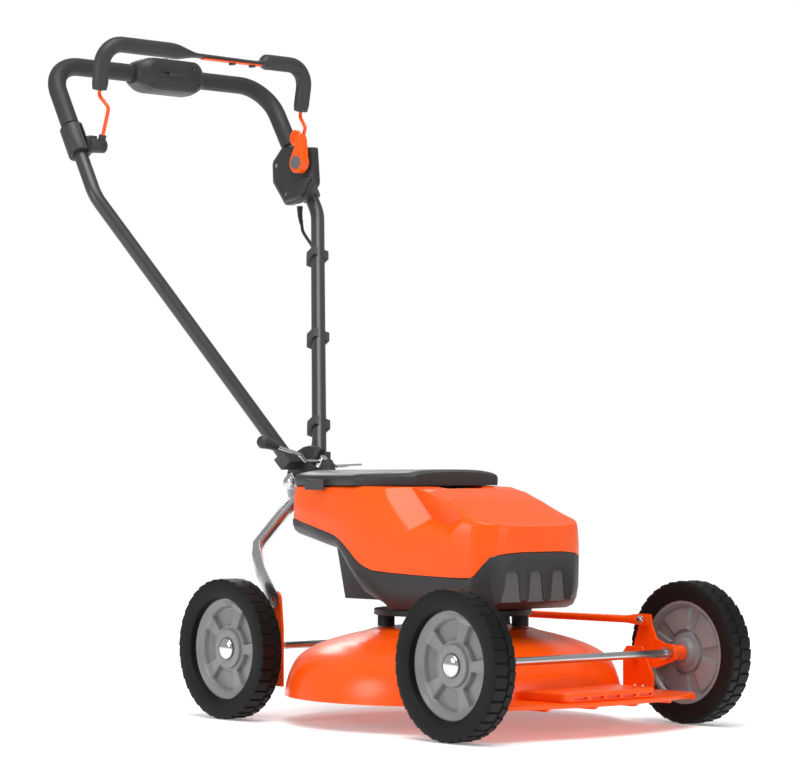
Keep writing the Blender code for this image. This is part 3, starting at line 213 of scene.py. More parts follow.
def bolt(axis, centre, radius, high, outward=1, sides=6):
    # a flanged hexagon head: a thin round flange with a six-sided head on it
    flange = [(0, 0), (radius * 1.35, 0), (radius * 1.35, outward * high * 0.25),
              (radius, outward * high * 0.36), (0, outward * high * 0.36)]
    head = [(0, 0), (radius, 0), (radius, outward * high * 0.85), (radius * 0.86, outward * high),
            (0, outward * high)]
    return [revolve(flange, axis, centre, 28), revolve(head, axis, centre, sides)]


def joined(parts):
    # several meshes as one: face numbers are raised by the count of points before them
    points, faces, start = [], [], 0
    for found, made in parts:
        points.append(found)
        faces += [[k + start for k in face] for face in made]
        start += len(found)
    return np.concatenate(points), faces


def meshOf(name, parts, sharp=35, merge=2e-6):
    # the parts as one mesh, moved from the blade's axis to the frame's origin
    points, faces = joined(parts)
    mesh = bpy.data.meshes.new(name)
    mesh.from_pydata((points + (0, bladeY, 0)).tolist(), [], faces)
    tidyMesh(mesh, sharp, merge)
    return mesh


def tidyMesh(mesh, sharp, merge, flatten=False):
    # doubled points joined, slivers removed, faces turned outward, and edges over the sharp angle left
    # creased; flatten also joins faces that lie within 1.5 degrees of each other
    solid = bmesh.new()
    solid.from_mesh(mesh)
    bmesh.ops.remove_doubles(solid, verts=solid.verts, dist=merge)
    bmesh.ops.dissolve_degenerate(solid, edges=solid.edges, dist=1e-6)
    if flatten:
        bmesh.ops.dissolve_limit(solid, angle_limit=math.radians(1.5), verts=solid.verts, edges=solid.edges)
    bmesh.ops.recalc_face_normals(solid, faces=solid.faces)
    solid.to_mesh(mesh)
    solid.free()
    mesh.shade_smooth()
    mesh.set_sharp_from_angle(angle=math.radians(sharp))


def placed(name, data):
    # a new object at the origin that shows this mesh, lamp or camera
    obj = bpy.data.objects.new(name, data)
    bpy.context.collection.objects.link(obj)
    return obj


def bevelled(obj, width, segments=2, angle=40):
    # edges steeper than the angle are rounded over the width
    edge = obj.modifiers.new("Edges", "BEVEL")
    edge.width = width
    edge.segments = segments
    edge.limit_method = "ANGLE"
    edge.angle_limit = math.radians(angle)
    edge.use_clamp_overlap = True
    return obj


def frozen(obj, sharp=35):
    # the object's evaluated mesh takes the place of its own, and its modifiers go
    bpy.context.view_layer.update()
    graph = bpy.context.evaluated_depsgraph_get()
    made = bpy.data.meshes.new_from_object(obj.evaluated_get(graph))
    obj.modifiers.clear()
    obj.data = made
    made.shade_smooth()
    made.set_sharp_from_angle(angle=math.radians(sharp))
    return obj


def cut(obj, cutters, sharp=35):
    # the cutters are taken out of the object's solid
    helper = placed("cutter", meshOf("cutter", cutters))
    boolean = obj.modifiers.new("Cut", "BOOLEAN")
    boolean.solver = "EXACT"
    boolean.object = helper
    frozen(obj, sharp)
    bpy.data.objects.remove(helper)
    return obj


def thick(obj, wall, sharp=35):
    # the surface gets a wall of this thickness on its inner side
    shell = obj.modifiers.new("Wall", "SOLIDIFY")
    shell.thickness = wall
    shell.offset = -1
    return frozen(obj, sharp)


def build(name, parts, body, slotName, replaced=(), look=None, sharp=35, bevel=0, segments=2):
    # an object made of parts, with the finish that its look or slot name picks, attached to its body, and the
    # nodes that it stands for hidden
    obj = placed(name, meshOf(name, parts, sharp))
    obj.data.materials.append(finishes[look or slotName])
    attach(obj, body)
    if replaced:
        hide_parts(*replaced)
    if bevel:
        bevelled(obj, bevel, segments)
    return obj


def refined(node, slotName, bevel=0.0006, segments=2, look=None):
    # a copy of the node's mesh with its faces joined and its edges rounded
    mesh = nodes[node].data.copy()
    mesh.materials.clear()
    tidyMesh(mesh, 35, 1e-5, flatten=True)
    obj = placed(node + "_finished", mesh)
    mesh.materials.append(finishes[look or slotName])
    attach(obj, nodes[node]["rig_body"])
    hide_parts(node)
    return bevelled(obj, bevel, segments)


# finishes

finishValues = {"orange_paint": dict(colour=(0.94, 0.088, 0.0012), rough=0.27, coat=0.12, spec=0.35,
                                     mottle=0.05, grain=420, depth=0.00003, wear=0.10),
                "orange_plastic": dict(colour=(0.96, 0.098, 0.0012), rough=0.31, coat=0.06, spec=0.32,
                                       mottle=0.03, grain=600, depth=0.00002, wear=0.15),
                "dark_plastic": dict(colour=(0.030, 0.030, 0.031), rough=0.42, spec=0.35, mottle=0.12,
                                     grain=600, depth=0.00006, wear=0.35),
                "black_plastic": dict(colour=(0.036, 0.036, 0.037), rough=0.44, spec=0.35, mottle=0.12,
                                      grain=600, depth=0.00006, wear=0.25),
                "black_casting": dict(colour=(0.008, 0.008, 0.009), rough=0.48, metal=0.3, spec=0.4,
                                      mottle=0.15, grain=500, depth=0.00012, wear=0.3),
                "black_rubber": dict(colour=(0.030, 0.030, 0.031), rough=0.50, spec=0.35, mottle=0.12,
                                     grain=500, depth=0.00006, wear=0.12),
                "tyre_rubber": dict(colour=(0.0040, 0.0040, 0.0042), rough=0.52, spec=0.22, mottle=0.25,
                                    grain=500, depth=0.00010, wear=0.06),
                "grey_plastic": dict(colour=(0.21, 0.215, 0.22), rough=0.24, coat=0.2, spec=0.5,
                                     mottle=0.05, grain=600, depth=0.00002, wear=0.35),
                "tube_paint": dict(colour=(0.036, 0.036, 0.037), rough=0.34, coat=0.05, spec=0.5,
                                   mottle=0.06, grain=300, depth=0.000004, wear=0.1),
                "zinc_steel": dict(colour=(0.62, 0.63, 0.65), rough=0.22, metal=1.0, mottle=0.06,
                                   grain=300, depth=0.000004, wear=0.1),
                "chrome": dict(colour=(0.72, 0.72, 0.74), rough=0.12, metal=1.0, mottle=0.03, grain=300,
                               depth=0.000002, wear=0.0), "motor_steel": dict(colour=(0.48, 0.49, 0.50),
    rough=0.30, metal=1.0, mottle=0.08, grain=500, depth=0.00002, wear=0.1),
                "blade_steel": dict(colour=(0.30, 0.30, 0.31), rough=0.36, metal=1.0, mottle=0.15,
                                    grain=300, depth=0.00004, wear=0.6),
                "copper_winding": dict(colour=(0.62, 0.25, 0.09), rough=0.33, metal=1.0, mottle=0.15,
                                       grain=400, depth=0.0003, wear=0.2),
                "insert_grey": dict(colour=(0.12, 0.125, 0.13), rough=0.42, mottle=0.05, grain=600,
                                    depth=0.00004, wear=0.1)}


def finish(name, colour, rough, coat=0.0, metal=0.0, mottle=0.05, grain=1000, depth=0.0001,
           wear=0.2, spec=0.5):
    # colour drifts with a broad noise, proud edges turn paler, and a fine noise lifts the surface
    material = bpy.data.materials.new(name)
    material.use_nodes = True
    tree = material.node_tree
    shader = tree.nodes["Principled BSDF"]
    shader.inputs["Metallic"].default_value = metal
    shader.inputs["Coat Weight"].default_value = coat
    shader.inputs["Coat Roughness"].default_value = 0.12
    shader.inputs["IOR"].default_value = 1.48
    shader.inputs["Specular IOR Level"].default_value = spec
    make = tree.nodes.new
    link = tree.links.new
    place = make("ShaderNodeTexCoord")
    broad = make("ShaderNodeTexNoise")
    broad.inputs["Scale"].default_value = 14
    broad.inputs["Detail"].default_value = 5
    fine = make("ShaderNodeTexNoise")
    fine.inputs["Scale"].default_value = grain
    fine.inputs["Detail"].default_value = 3
    link(place.outputs["Object"], broad.inputs["Vector"])
    link(place.outputs["Object"], fine.inputs["Vector"])
    drift = make("ShaderNodeMix")
    drift.data_type = "RGBA"
    drift.inputs["A"].default_value = (*[c * (1 - mottle) for c in colour], 1)
    drift.inputs["B"].default_value = (*[min(c * (1 + mottle), 1) for c in colour], 1)
    link(broad.outputs["Fac"], drift.inputs["Factor"])
    shape = make("ShaderNodeNewGeometry")
    proud = make("ShaderNodeMapRange")
    proud.inputs["From Min"].default_value = 0.53
    proud.inputs["From Max"].default_value = 0.66
    proud.inputs["To Max"].default_value = wear
    link(shape.outputs["Pointiness"], proud.inputs["Value"])
    worn = make("ShaderNodeMix")
    worn.data_type = "RGBA"
    pale = [c + (0.55 - c) * 0.35 for c in colour]
    worn.inputs["B"].default_value = (*pale, 1)
    link(proud.outputs["Result"], worn.inputs["Factor"])
    link(drift.outputs["Result"], worn.inputs["A"])
    link(worn.outputs["Result"], shader.inputs["Base Color"])
    gloss = make("ShaderNodeMapRange")
    gloss.inputs["To Min"].default_value = rough * 0.85
    gloss.inputs["To Max"].default_value = rough * 1.18
    link(broad.outputs["Fac"], gloss.inputs["Value"])
    link(gloss.outputs["Result"], shader.inputs["Roughness"])
    lift = make("ShaderNodeBump")
    lift.inputs["Strength"].default_value = 0.35
    lift.inputs["Distance"].default_value = depth
    link(fine.outputs["Fac"], lift.inputs["Height"])
    link(lift.outputs["Normal"], shader.inputs["Normal"])
    return material


finishes = {name: finish(name, **values) for name, values in finishValues.items()}
nodeSlot = {part["node"]: part["material_slot"] for part in frame["record"]["subparts"]}
for nodeName, cadNode in nodes.items():
    cadNode.data.materials.clear()
    cadNode.data.materials.append(finishes[nodeSlot[nodeName]])
print("finishes made")


# camera, light and floor

camera = {"place": (-2.8138, -3.36235, 0.3623), "azimuth": -40.638, "elevation": -1.913, "lens": 127.37,
          "sensor": 36}
eye = bpy.data.cameras.new("camera")
eye.lens = camera["lens"]
eye.sensor_width = camera["sensor"]
eye.clip_end = 200
eyeObject = placed("camera", eye)
turn, rise = math.radians(camera["azimuth"]), math.radians(camera["elevation"])
back = Vector((math.sin(turn) * math.cos(rise), -math.cos(turn) * math.cos(rise), math.sin(rise)))
eyeObject.location = camera["place"]
eyeObject.rotation_euler = back.to_track_quat("Z", "Y").to_euler()
bpy.context.scene.camera = eyeObject

studio = {"floor": (0.93, 0.93, 0.93), "skySeen": 1.0, "skyLight": 0.42, "floorGlow": 0.22, "floorHalf": 40}
world = bpy.data.worlds.new("studio")
world.use_nodes = True
world.node_tree.nodes["Background"].inputs["Color"].default_value = (1, 1, 1, 1)
skyRays = world.node_tree.nodes.new("ShaderNodeLightPath")
skyMix = world.node_tree.nodes.new("ShaderNodeMapRange")
skyMix.inputs["To Min"].default_value = studio["skyLight"]
skyMix.inputs["To Max"].default_value = studio["skySeen"]
world.node_tree.links.new(skyRays.outputs["Is Camera Ray"], skyMix.inputs["Value"])
world.node_tree.links.new(skyMix.outputs["Result"], world.node_tree.nodes["Background"].inputs["Strength"])
bpy.context.scene.world = world
bpy.context.scene.view_settings.view_transform = "Standard"
bpy.context.scene.view_settings.look = "None"


def softLight(name, place, aim, size, power):
    # a round lamp at a place, turned towards a point
    lamp = bpy.data.lights.new(name, "AREA")
    lamp.shape = "DISK"
    lamp.size = size
    lamp.energy = power
    holder = placed(name, lamp)
    holder.location = place
    holder.rotation_euler = (Vector(place) - Vector(aim)).to_track_quat("Z", "Y").to_euler()


softLight("overhead", (-0.3, -0.6, 3.2), (0, 0, 0.3), 2.0, 30)
softLight("leftSide", (-3.3, 0.5, 1.3), (0, 0, 0.4), 1.3, 26)
softLight("front", (0.3, -3.6, 1.0), (0, 0, 0.3), 1.3, 12)
softLight("behind", (1.6, 2.6, 2.0), (0, 0, 0.5), 1.4, 26)
key = bpy.data.lights.new("key", "SUN")
key.energy = 1.55
key.angle = math.radians(40)
keyObject = placed("key", key)
keyObject.rotation_euler = Vector((-0.55, -0.50, 1.5)).to_track_quat("Z", "Y").to_euler()

half = studio["floorHalf"]
floorMesh = bpy.data.meshes.new("floor")
steps = np.linspace(-half, half, 9)
floorPoints, floorFaces = surface(np.stack(np.broadcast_arrays(steps[:, None], steps[None, :], -0.0005),
                                           axis=-1))
floorMesh.from_pydata(floorPoints.tolist(), [], floorFaces)
floorObject = placed("floor", floorMesh)
paper = bpy.data.materials.new("paper")
paper.use_nodes = True
paperLook = {"Base Color": (*studio["floor"], 1), "Roughness": 0.9, "Specular IOR Level": 0.1,
             "Emission Color": (1, 1, 1, 1), "Emission Strength": studio["floorGlow"]}
for socket, value in paperLook.items():
    paper.node_tree.nodes["Principled BSDF"].inputs[socket].default_value = value
floorMesh.materials.append(paper)
print("camera and light set")


# sizes shared by the pieces

gap = 0.0003
wheelR, trackHalf, rimR = 0.105, 0.2325, 0.0756
frontAxleY, rearAxleY = -0.264, 0.243
handleFoot = np.array((0.0295, 0.353, 0.385))
handleBend = np.array((0.2300, 0.606, 0.8143))
handleCorner = np.array((0.2270, 0.7466, 1.0435))
tubeR, sleeveR, cableR = 0.0115, 0.0150, 0.0028
mirror = np.array((-1.0, 1.0, 1.0))


def lowerTube(z, side=1):
    # the lower tube's centre at a height: foot plus its share of the way to the bend
    point = handleFoot + (handleBend - handleFoot) * (z - handleFoot[2]) / (handleBend[2] - handleFoot[2])
    return point * (side, 1, 1)


def upperTube(z, side=1):
    # the upper tube's centre at a height: bend plus its share of the way to the corner
    point = handleBend + (handleCorner - handleBend) * (z - handleBend[2]) / (handleCorner[2] - handleBend[2])
    return point * (side, 1, 1)


# cable

def smoothLine(points, steps):
    # a Catmull-Rom line: each stretch is a cubic through its ends, aimed by its neighbours
    padded = np.concatenate([points[:1], points, points[-1:]])
    t = np.linspace(0, 1, steps, endpoint=False)[None, :, None]
    a, b, c, d = (padded[k:len(padded) - 3 + k][:, None] for k in range(4))
    line = (2 * b + (c - a) * t + (2 * a - 5 * b + 4 * c - d) * t**2 + (3 * b - a - 3 * c + d) * t**3) / 2
    return np.concatenate([line.reshape(-1, 3), points[-1:]])


def cable():
    # a round section along the route, and a ribbed sleeve that narrows over its first 30 mm
    lean = unit(handleBend - handleFoot)
    rear = unit(np.cross((1, 0, 0), lean))
    rear = rear if rear[1] > 0 else -rear
    behind = rear * (tubeR + cableR + 4 * gap + 0.001)
    route = [(0.226, 0.650, 0.8285), (0.226, 0.649, 0.812), (0.225, 0.643, 0.795), (0.2215, 0.634, 0.782)]
    route += [lowerTube(z) + behind for z in (0.762, 0.748, 0.726, 0.65, 0.5935, 0.54, 0.49, 0.4465, 0.430)]
    route += [lowerTube(z) + rear * 0.0212 for z in (0.412, 0.392)]
    route += [(0.0335, 0.3620, 0.3620), (0.0330, 0.3545, 0.3535)]
    line = smoothLine(np.array(route, float), 6)
    run = np.concatenate([[0], np.cumsum(np.linalg.norm(np.diff(line, axis=0), axis=1))])
    lead = build("cable_lead", [sweep(line, cableR, sides=16, side=(1, 0, 0.01), bulge=0.001)], "handle",
                 "black_rubber", ["handle_cable"])
    way = unit(line[6] - line[0])
    beads = np.linspace(-0.0004, 0.030, 49)
    share = np.clip(beads / 0.030, 0, 1)
    radius = 0.0056 - 0.0021 * share - 0.0007 * (np.sin(beads / 0.0030 * 2 * np.pi) > 0.2)
    guard = np.stack([np.interp(np.clip(beads, 0, None), run, line[:, k]) for k in range(3)], axis=1)
    guard[0] -= way * 0.0004
    build("cable_strain_relief", [sweep(guard, radius, sides=20, side=(1, 0, 0.01))], "handle",
          "black_rubber")
    print("cable length", round(float(run[-1]), 4))


cable()


# covers

plan = (
    (-0.192, 0.040), (-0.187, 0.070), (-0.178, 0.089), (-0.157, 0.109), (-0.063, 0.126),
    (0.020, 0.1365), (0.084, 0.1365), (0.168, 0.124), (0.252, 0.106), (0.268, 0.087), (0.273, 0.060),
)
topLine = ((-0.192, 0.291), (-0.172, 0.298), (-0.065, 0.3435), (-0.020, 0.3495), (0.273, 0.3495))
shoulderDrop = ((-0.192, 0.0), (-0.172, 0.0), (-0.120, 0.012), (-0.065, 0.018), (-0.036, 0.014),
                (-0.020, 0.0), (0.273, 0.0))
seamLine = (
    (-0.192, 0.2545), (-0.177, 0.2480), (-0.161, 0.2205), (-0.150, 0.2165), (0.019, 0.2235),
    (0.040, 0.2280), (0.062, 0.2375), (0.085, 0.2555), (0.112, 0.2720), (0.139, 0.2795), (0.273, 0.3025),
)
pocket = {"back": ((-0.0920, -0.0576, 0.3026), (-0.0970, -0.0450, 0.3450), (-0.0950, -0.1080, 0.2944)),
          "floor": ((-0.1270, -0.0462, 0.2847), (-0.1170, -0.1173, 0.2741), (-0.0920, -0.0576, 0.3026)),
          "left": ((-0.1310, 0.0090, 0.3425), (-0.1270, -0.0462, 0.2847), (-0.0920, -0.0576, 0.3026)),
          "right": ((-0.1170, -0.1173, 0.2741), (-0.0940, -0.1400, 0.3150), (-0.0950, -0.1080, 0.2944)),
          "inside": (-0.1080, -0.0850, 0.3020), "core": 0.24}


def hollowed(rows, side):
    # points that lie in the pocket's wedge go back towards the cover's core until they meet its walls
    wedge = [(np.array(pocket[wall]) * (side, 1, 1)) for wall in ("back", "floor", "left", "right")]
    within = np.array(pocket["inside"]) * (side, 1, 1)
    core = rows * (0, 1, 0) + (0, 0, pocket["core"])
    reach = rows - core
    enter = np.zeros(rows.shape[:2])
    hit = np.ones(rows.shape[:2], bool)
    for corner, second, third in wedge:
        normal = unit(np.cross(second - corner, third - corner))
        normal = normal if (within - corner) @ normal > 0 else -normal
        start = (core - corner) @ normal
        speed = reach @ normal
        hit &= start + speed > 0
        enter = np.maximum(enter, np.where(start < 0, -start / np.where(np.abs(speed) < 1e-9, 1e-9,
            speed), 0))
    share = np.where(hit, np.clip(enter, 0, 1), 1)
    return core + reach * share[..., None]


def cover():
    # half sections of seven control points follow the plan, seam and top line, and corner cutting
    # rounds them; then the pockets, the basin under the carrying handle and the bay are taken out
    line = spaced(cornerCut(plan, 2), 300)
    y, wide = line[:, 0], line[:, 1]
    low = read(cornerCut(seamLine, 2), y) + gap
    high = read(cornerCut(topLine, 1), y)
    shoulder = high - read(cornerCut(shoulderDrop, 1), y)
    one = np.ones_like(y)
    tall = shoulder - low
    right = [(0.99 * wide, low), (wide, low + 0.35 * tall), (0.985 * wide,
        shoulder - np.minimum(0.024, 0.36 * tall)), (0.972 * wide,
        shoulder - np.minimum(0.011, 0.16 * tall)), (0.945 * wide,
        shoulder - np.minimum(0.002, 0.03 * tall)), (0.90 * wide, shoulder + 0.25 * (high - shoulder)),
             (0.68 * wide, high)]
    right = np.stack([np.stack([x, y, z * one], axis=-1) for x, z in right], axis=1)
    rows = np.concatenate([right, (right * mirror)[:, ::-1]], axis=1)
    rows = np.moveaxis(cornerCut(np.moveaxis(rows, 1, 0), 2), 0, 1)
    rows = respace(rows, 260)
    for side in (1, -1):
        rows = hollowed(rows, side)
    x, yy = rows[..., 0], rows[..., 1]
    basin = 0.0060 * smoothStep(0.054 - np.abs(x), 0, 0.006) * smoothStep(yy, -0.050,
        -0.020) * smoothStep(0.046 - yy, 0, 0.012)
    rows[..., 2] -= basin * (rows[..., 2] > 0.325)
    ends = [rows[:1] * (0, 1, 1), rows, rows[-1:] * (0, 1, 1)]
    shell = build("cover_shell", [surface(np.concatenate(ends))], "deck", "orange_plastic",
                  ["upper_cover"], sharp=28)
    thick(shell, 0.0026, 28)
    cut(shell, [block((-0.056, 0.066, 0.33), (0.056, 0.236, 0.37))], 28)


bay = {"centres": (-0.0555, -0.0115, 0.0325), "middleZ": 0.2055, "inset": 0.0019,
       "backFront": 0.0004, "backRear": 0.0010, "backWider": 1.06, "backTaller": 1.03}


def pan():
    # three shallow bays, wider at the foot, are cut into the front wall, each closed by a backing plate
    skin = refined("lower_pan", "dark_plastic", 0.0012, 3)
    frozen(skin)
    widths = np.array([(w, y) for y, w in plan[:4]])
    bays, backs = [], []
    for centre in bay["centres"]:
        outline = np.array([(-0.0075, 0.2270), (0.0085, 0.2270), (0.0110, 0.2235), (0.0150, 0.1840),
                            (-0.0150, 0.1840), (-0.0100, 0.2235)]) + (centre, 0)
        wall = np.interp(np.abs(outline[:, 0]) / 0.965, widths[:, 0], widths[:, 1]) + bay["inset"]
        points, faces = plate(outline, "y", -0.21, 0)
        points[len(outline):, 1] = wall
        bays.append((points, faces))
        behind = points.copy()
        behind[:len(outline), 1] = wall - bay["backFront"]
        behind[len(outline):, 1] = wall + bay["backRear"]
        behind[:, 0] = centre + (behind[:, 0] - centre) * bay["backWider"]
        behind[:, 2] = bay["middleZ"] + (behind[:, 2] - bay["middleZ"]) * bay["backTaller"]
        backs.append((behind, faces))
    cut(skin, bays)
    bevelled(skin, 0.0006, 2, 50)
    build("pan_bay_backs", backs, "deck", "dark_plastic")


cover()
pan()
print("covers made")


# lid, latch and carrying handle

lidPlan = ((-0.008, 0.083), (0.000, 0.092), (0.066, 0.1325), (0.084, 0.1325), (0.168, 0.120),
           (0.252, 0.102), (0.265, 0.090))


def lid():
    # half sections over the plan, lower at both ends, hollowed beneath and notched at the front
    base = 0.3498
    line = spaced(cornerCut(lidPlan, 2), 120)
    y, wide = line[:, 0], line[:, 1]
    drop = 0.004 * np.clip(1 - (y - y[0]) / 0.012, 0, 1) + 0.004 * np.clip(1 - (y[-1] - y) / 0.02, 0, 1)
    one = np.ones_like(y)
    right = [(0.99 * wide, base), (0.99 * wide, base), (wide, base + 0.006), (wide, base + 0.012),
             (0.965 * wide, base + 0.0165), (0.86 * wide, base + 0.0200 - drop),
             (0.5 * wide, base + 0.0240 - drop)]
    right = np.stack([np.stack([x, y, z * one], axis=-1) for x, z in right], axis=1)
    rows = np.concatenate([right, (right * mirror)[:, ::-1]], axis=1)
    rows = respace(np.moveaxis(cornerCut(np.moveaxis(rows, 1, 0), 2), 0, 1), 110)
    ends = [rows[:1] * (0, 1, 1), rows, rows[-1:] * (0, 1, 1)]
    cap = build("lid_shell", [surface(np.concatenate(ends), wrapColumns=True)], "battery_lid",
                "dark_plastic", ["battery_lid"])
    hollow = block((-0.066, 0.066, base - 0.01), (0.066, 0.236, base + 0.012))
    notch = block((-0.046, -0.028, base - 0.01), (0.046, 0.058, base + 0.05))
    cut(cap, [hollow, notch])
    bevelled(cap, 0.0012, 2, 50)


def carryHandle():
    # a hooked bar across the notch with four slots low in its front
    foot = 0.3436
    outline = [(0.016, foot), (0.048, foot), (0.052, 0.366), (0.046, 0.3735), (0.018, 0.3735),
               (0.006, 0.3660), (0.010, 0.3600)]
    grip = build("carry_grip", [plate(outline, "x", -0.042, 0.042)], "deck", "dark_plastic", ["carry_handle"])
    ribs = [block((x, -0.010, foot - 0.004), (x + 0.0135, 0.0215, 0.3585)) for x in (-0.0370, -0.0185,
        0.0045, 0.0235)]
    cut(grip, ribs)
    bevelled(grip, 0.0014, 3)


lid()
carryHandle()
refined("lid_latch", "dark_plastic", 0.0008, 2)
print("lid made")


# deck and apron

domeSizes = {"crownR": 0.032, "crownZ": 0.140, "shoulderR": 0.115, "flare": 0.136, "rimZ": 0.040,
             "rise": 0.100, "wall": 0.0022}
louvre = {"count": 5, "first": -0.064, "pitch": 0.032, "half": 0.0125, "low": 0.0535, "high": 0.0575,
          "round": 0.0019}


def deck():
    # the dome's outer line and the same line moved in by the wall, carried round the blade's axis
    curve = ((0.0, 1.0), (0.096, 0.945), (0.29, 0.89), (0.55, 0.79), (0.735, 0.68), (0.86, 0.56),
             (0.934, 0.39), (0.982, 0.18), (1.0, 0.0))
    outer = [(domeSizes["crownR"], domeSizes["crownZ"])]
    outer += [(domeSizes["shoulderR"] + domeSizes["flare"] * out,
               domeSizes["rimZ"] + domeSizes["rise"] * up) for out, up in curve]
    outer = spaced(cornerCut(outer, 3), 70)
    way = unit(np.gradient(outer, axis=0))
    inner = outer + np.stack([way[:, 1], -way[:, 0]], axis=1) * domeSizes["wall"]
    inner[0] = domeSizes["crownR"], domeSizes["crownZ"] - domeSizes["wall"]
    inner[-1] = domeSizes["shoulderR"] + domeSizes["flare"] - domeSizes["wall"], domeSizes["rimZ"]
    build("deck_dome", [revolve(np.concatenate([outer, inner[::-1]]), "z", (0, 0, 0), 160, closed=True)],
          "deck", "orange_paint", ["deck_shell"])


def apron():
    # a sheet with a lipped, curved front edge and six ribs below, and a raised step with five slots
    x = np.linspace(-0.200, 0.200, 161)
    edge = -0.349 + 0.038 * (x / 0.2) ** 2 + 0.010 * np.clip((np.abs(x) - 0.186) / 0.014, 0, 1) ** 2
    rear = -np.sqrt(0.2513**2 - np.clip(np.abs(x), 0, 0.2) ** 2) - 0.0004
    high, low = 0.050, 0.047
    across = [(edge + 0.004, high), (edge + 0.0012, high - 0.0006), (edge, high - 0.0022),
              (edge, low - 0.0035), (edge + 0.0022, low - 0.0035), (edge + 0.0024, low), (rear, low),
              (rear, high)]
    rows = np.stack([np.stack([x, y, z + 0 * x], axis=-1) for y, z in across], axis=1)
    middle = rows.mean(axis=1, keepdims=True)
    ends = [middle[:1] + 0 * rows[:1], rows, middle[-1:] + 0 * rows[:1]]
    parts = [surface(np.concatenate(ends), wrapColumns=True)]
    for share in (-2.4, -1.5, -0.5, 0.5, 1.5, 2.4):
        centre = share * 0.192 / 2.4
        front = -0.349 + 0.038 * (centre / 0.2) ** 2
        outline = [(front + 0.006, low + 0.001), (front + 0.003, low - 0.004),
                   (front + 0.006, low - 0.0072), (front + 0.012, low - 0.0075),
                   (front + 0.046, low - 0.0075), (front + 0.052, low - 0.003),
                   (front + 0.054, low + 0.001)]
        parts.append(plate(outline, "x", centre - 0.003, centre + 0.003))
    build("apron_sheet", parts, "deck", "orange_paint", ["front_apron"], bevel=0.0005)
    reach = 0.2540
    corner = -math.sqrt(reach**2 - 0.090**2)
    arcX = np.linspace(0.090, -0.090, 25)
    outline = [(px, py) for px, py in roundRectangle((-0.090, -0.338), (0.090, -0.200), 0.016) if py < -0.30]
    arcY = -np.sqrt(reach**2 - arcX[1:-1] ** 2)
    outline += [(0.090, corner), *zip(arcX[1:-1], arcY), (-0.090, corner)]
    step = build("apron_platform", [plate(outline, "z", 0.0492, 0.0640)], "deck", "orange_paint")
    bevelled(step, 0.0035, 4, 40)
    frozen(step)
    louvres = []
    for k in range(louvre["count"]):
        centre = louvre["first"] + louvre["pitch"] * k
        foot, head = (centre - louvre["half"], louvre["low"]), (centre + louvre["half"], louvre["high"])
        louvres.append(plate(roundRectangle(foot, head, louvre["round"]), "y", -0.345, -0.3345))
    cut(step, louvres)


deck()
apron()
print("deck made")


# wheels

wheel = {"lugs": 37, "stepsPerLug": 16, "grooveShare": 0.15, "grooveDepth": 0.0026, "ramp": 0.0013,
         "windows": 5}


def tyre(side, y, name):
    # the section is carried round the axle, and lugs are a depth taken from the tread's radius
    inner = [(0.0759, -0.016), (0.0772, -0.0174), (0.082, -0.0187), (0.092, -0.0195), (0.0985, -0.0194),
             (0.1012, -0.0190), (0.1030, -0.0184), (0.1043, -0.0178)]
    outer = [(0.1043, 0.0178), (0.1030, 0.0184), (0.1012, 0.0190), (0.0985, 0.0194), (0.092, 0.0195),
             (0.084, 0.0191), (0.0790, 0.0180), (0.0768, 0.0160), (0.0759, 0.0104)]
    tread = [(wheelR, a) for a in (-0.0172, -0.0140, -0.0100, -0.0068, -0.0060, -0.0052, -0.0042, -0.0034,
                                   -0.0026, -0.0010, 0.0040, 0.0100, 0.0150, 0.0172)]
    section = np.array(inner + tread + outer)
    radius, along = section[:, 0], section[:, 1]
    count = wheel["lugs"] * wheel["stepsPerLug"]
    turn = np.arange(count) * 2 * np.pi / count
    place = turn[:, None] * wheel["lugs"] / (2 * np.pi)
    inside = along[None, :] < -0.0044
    slant = np.where(inside, 0.5 + 6 * (along[None, :] + 0.0044), 4 * (along[None, :] + 0.0044))
    share = np.mod(place + slant, 1)
    groove = wheel["grooveDepth"] * (share < wheel["grooveShare"])
    past = share - wheel["grooveShare"]
    ramp = wheel["ramp"] * past / (1 - wheel["grooveShare"]) * (past >= 0)
    step = wheel["grooveDepth"] * ((along > -0.0056) & (along < -0.0030))[None, :]
    onTread = smoothStep(radius, 0.1005, 0.1040)[None, :]
    depth = np.maximum(np.maximum(groove, ramp), step) * onTread
    r = radius[None, :] - depth
    grid = np.stack([side * (trackHalf + along[None, :]) + 0 * r, y + r * np.cos(turn)[:, None],
                     wheelR + r * np.sin(turn)[:, None]], axis=-1)
    build("tyre_tread_" + name, [surface(grid, True, True)], "wheel_" + name, "tyre_rubber",
          ["tyre_" + name], sharp=30)


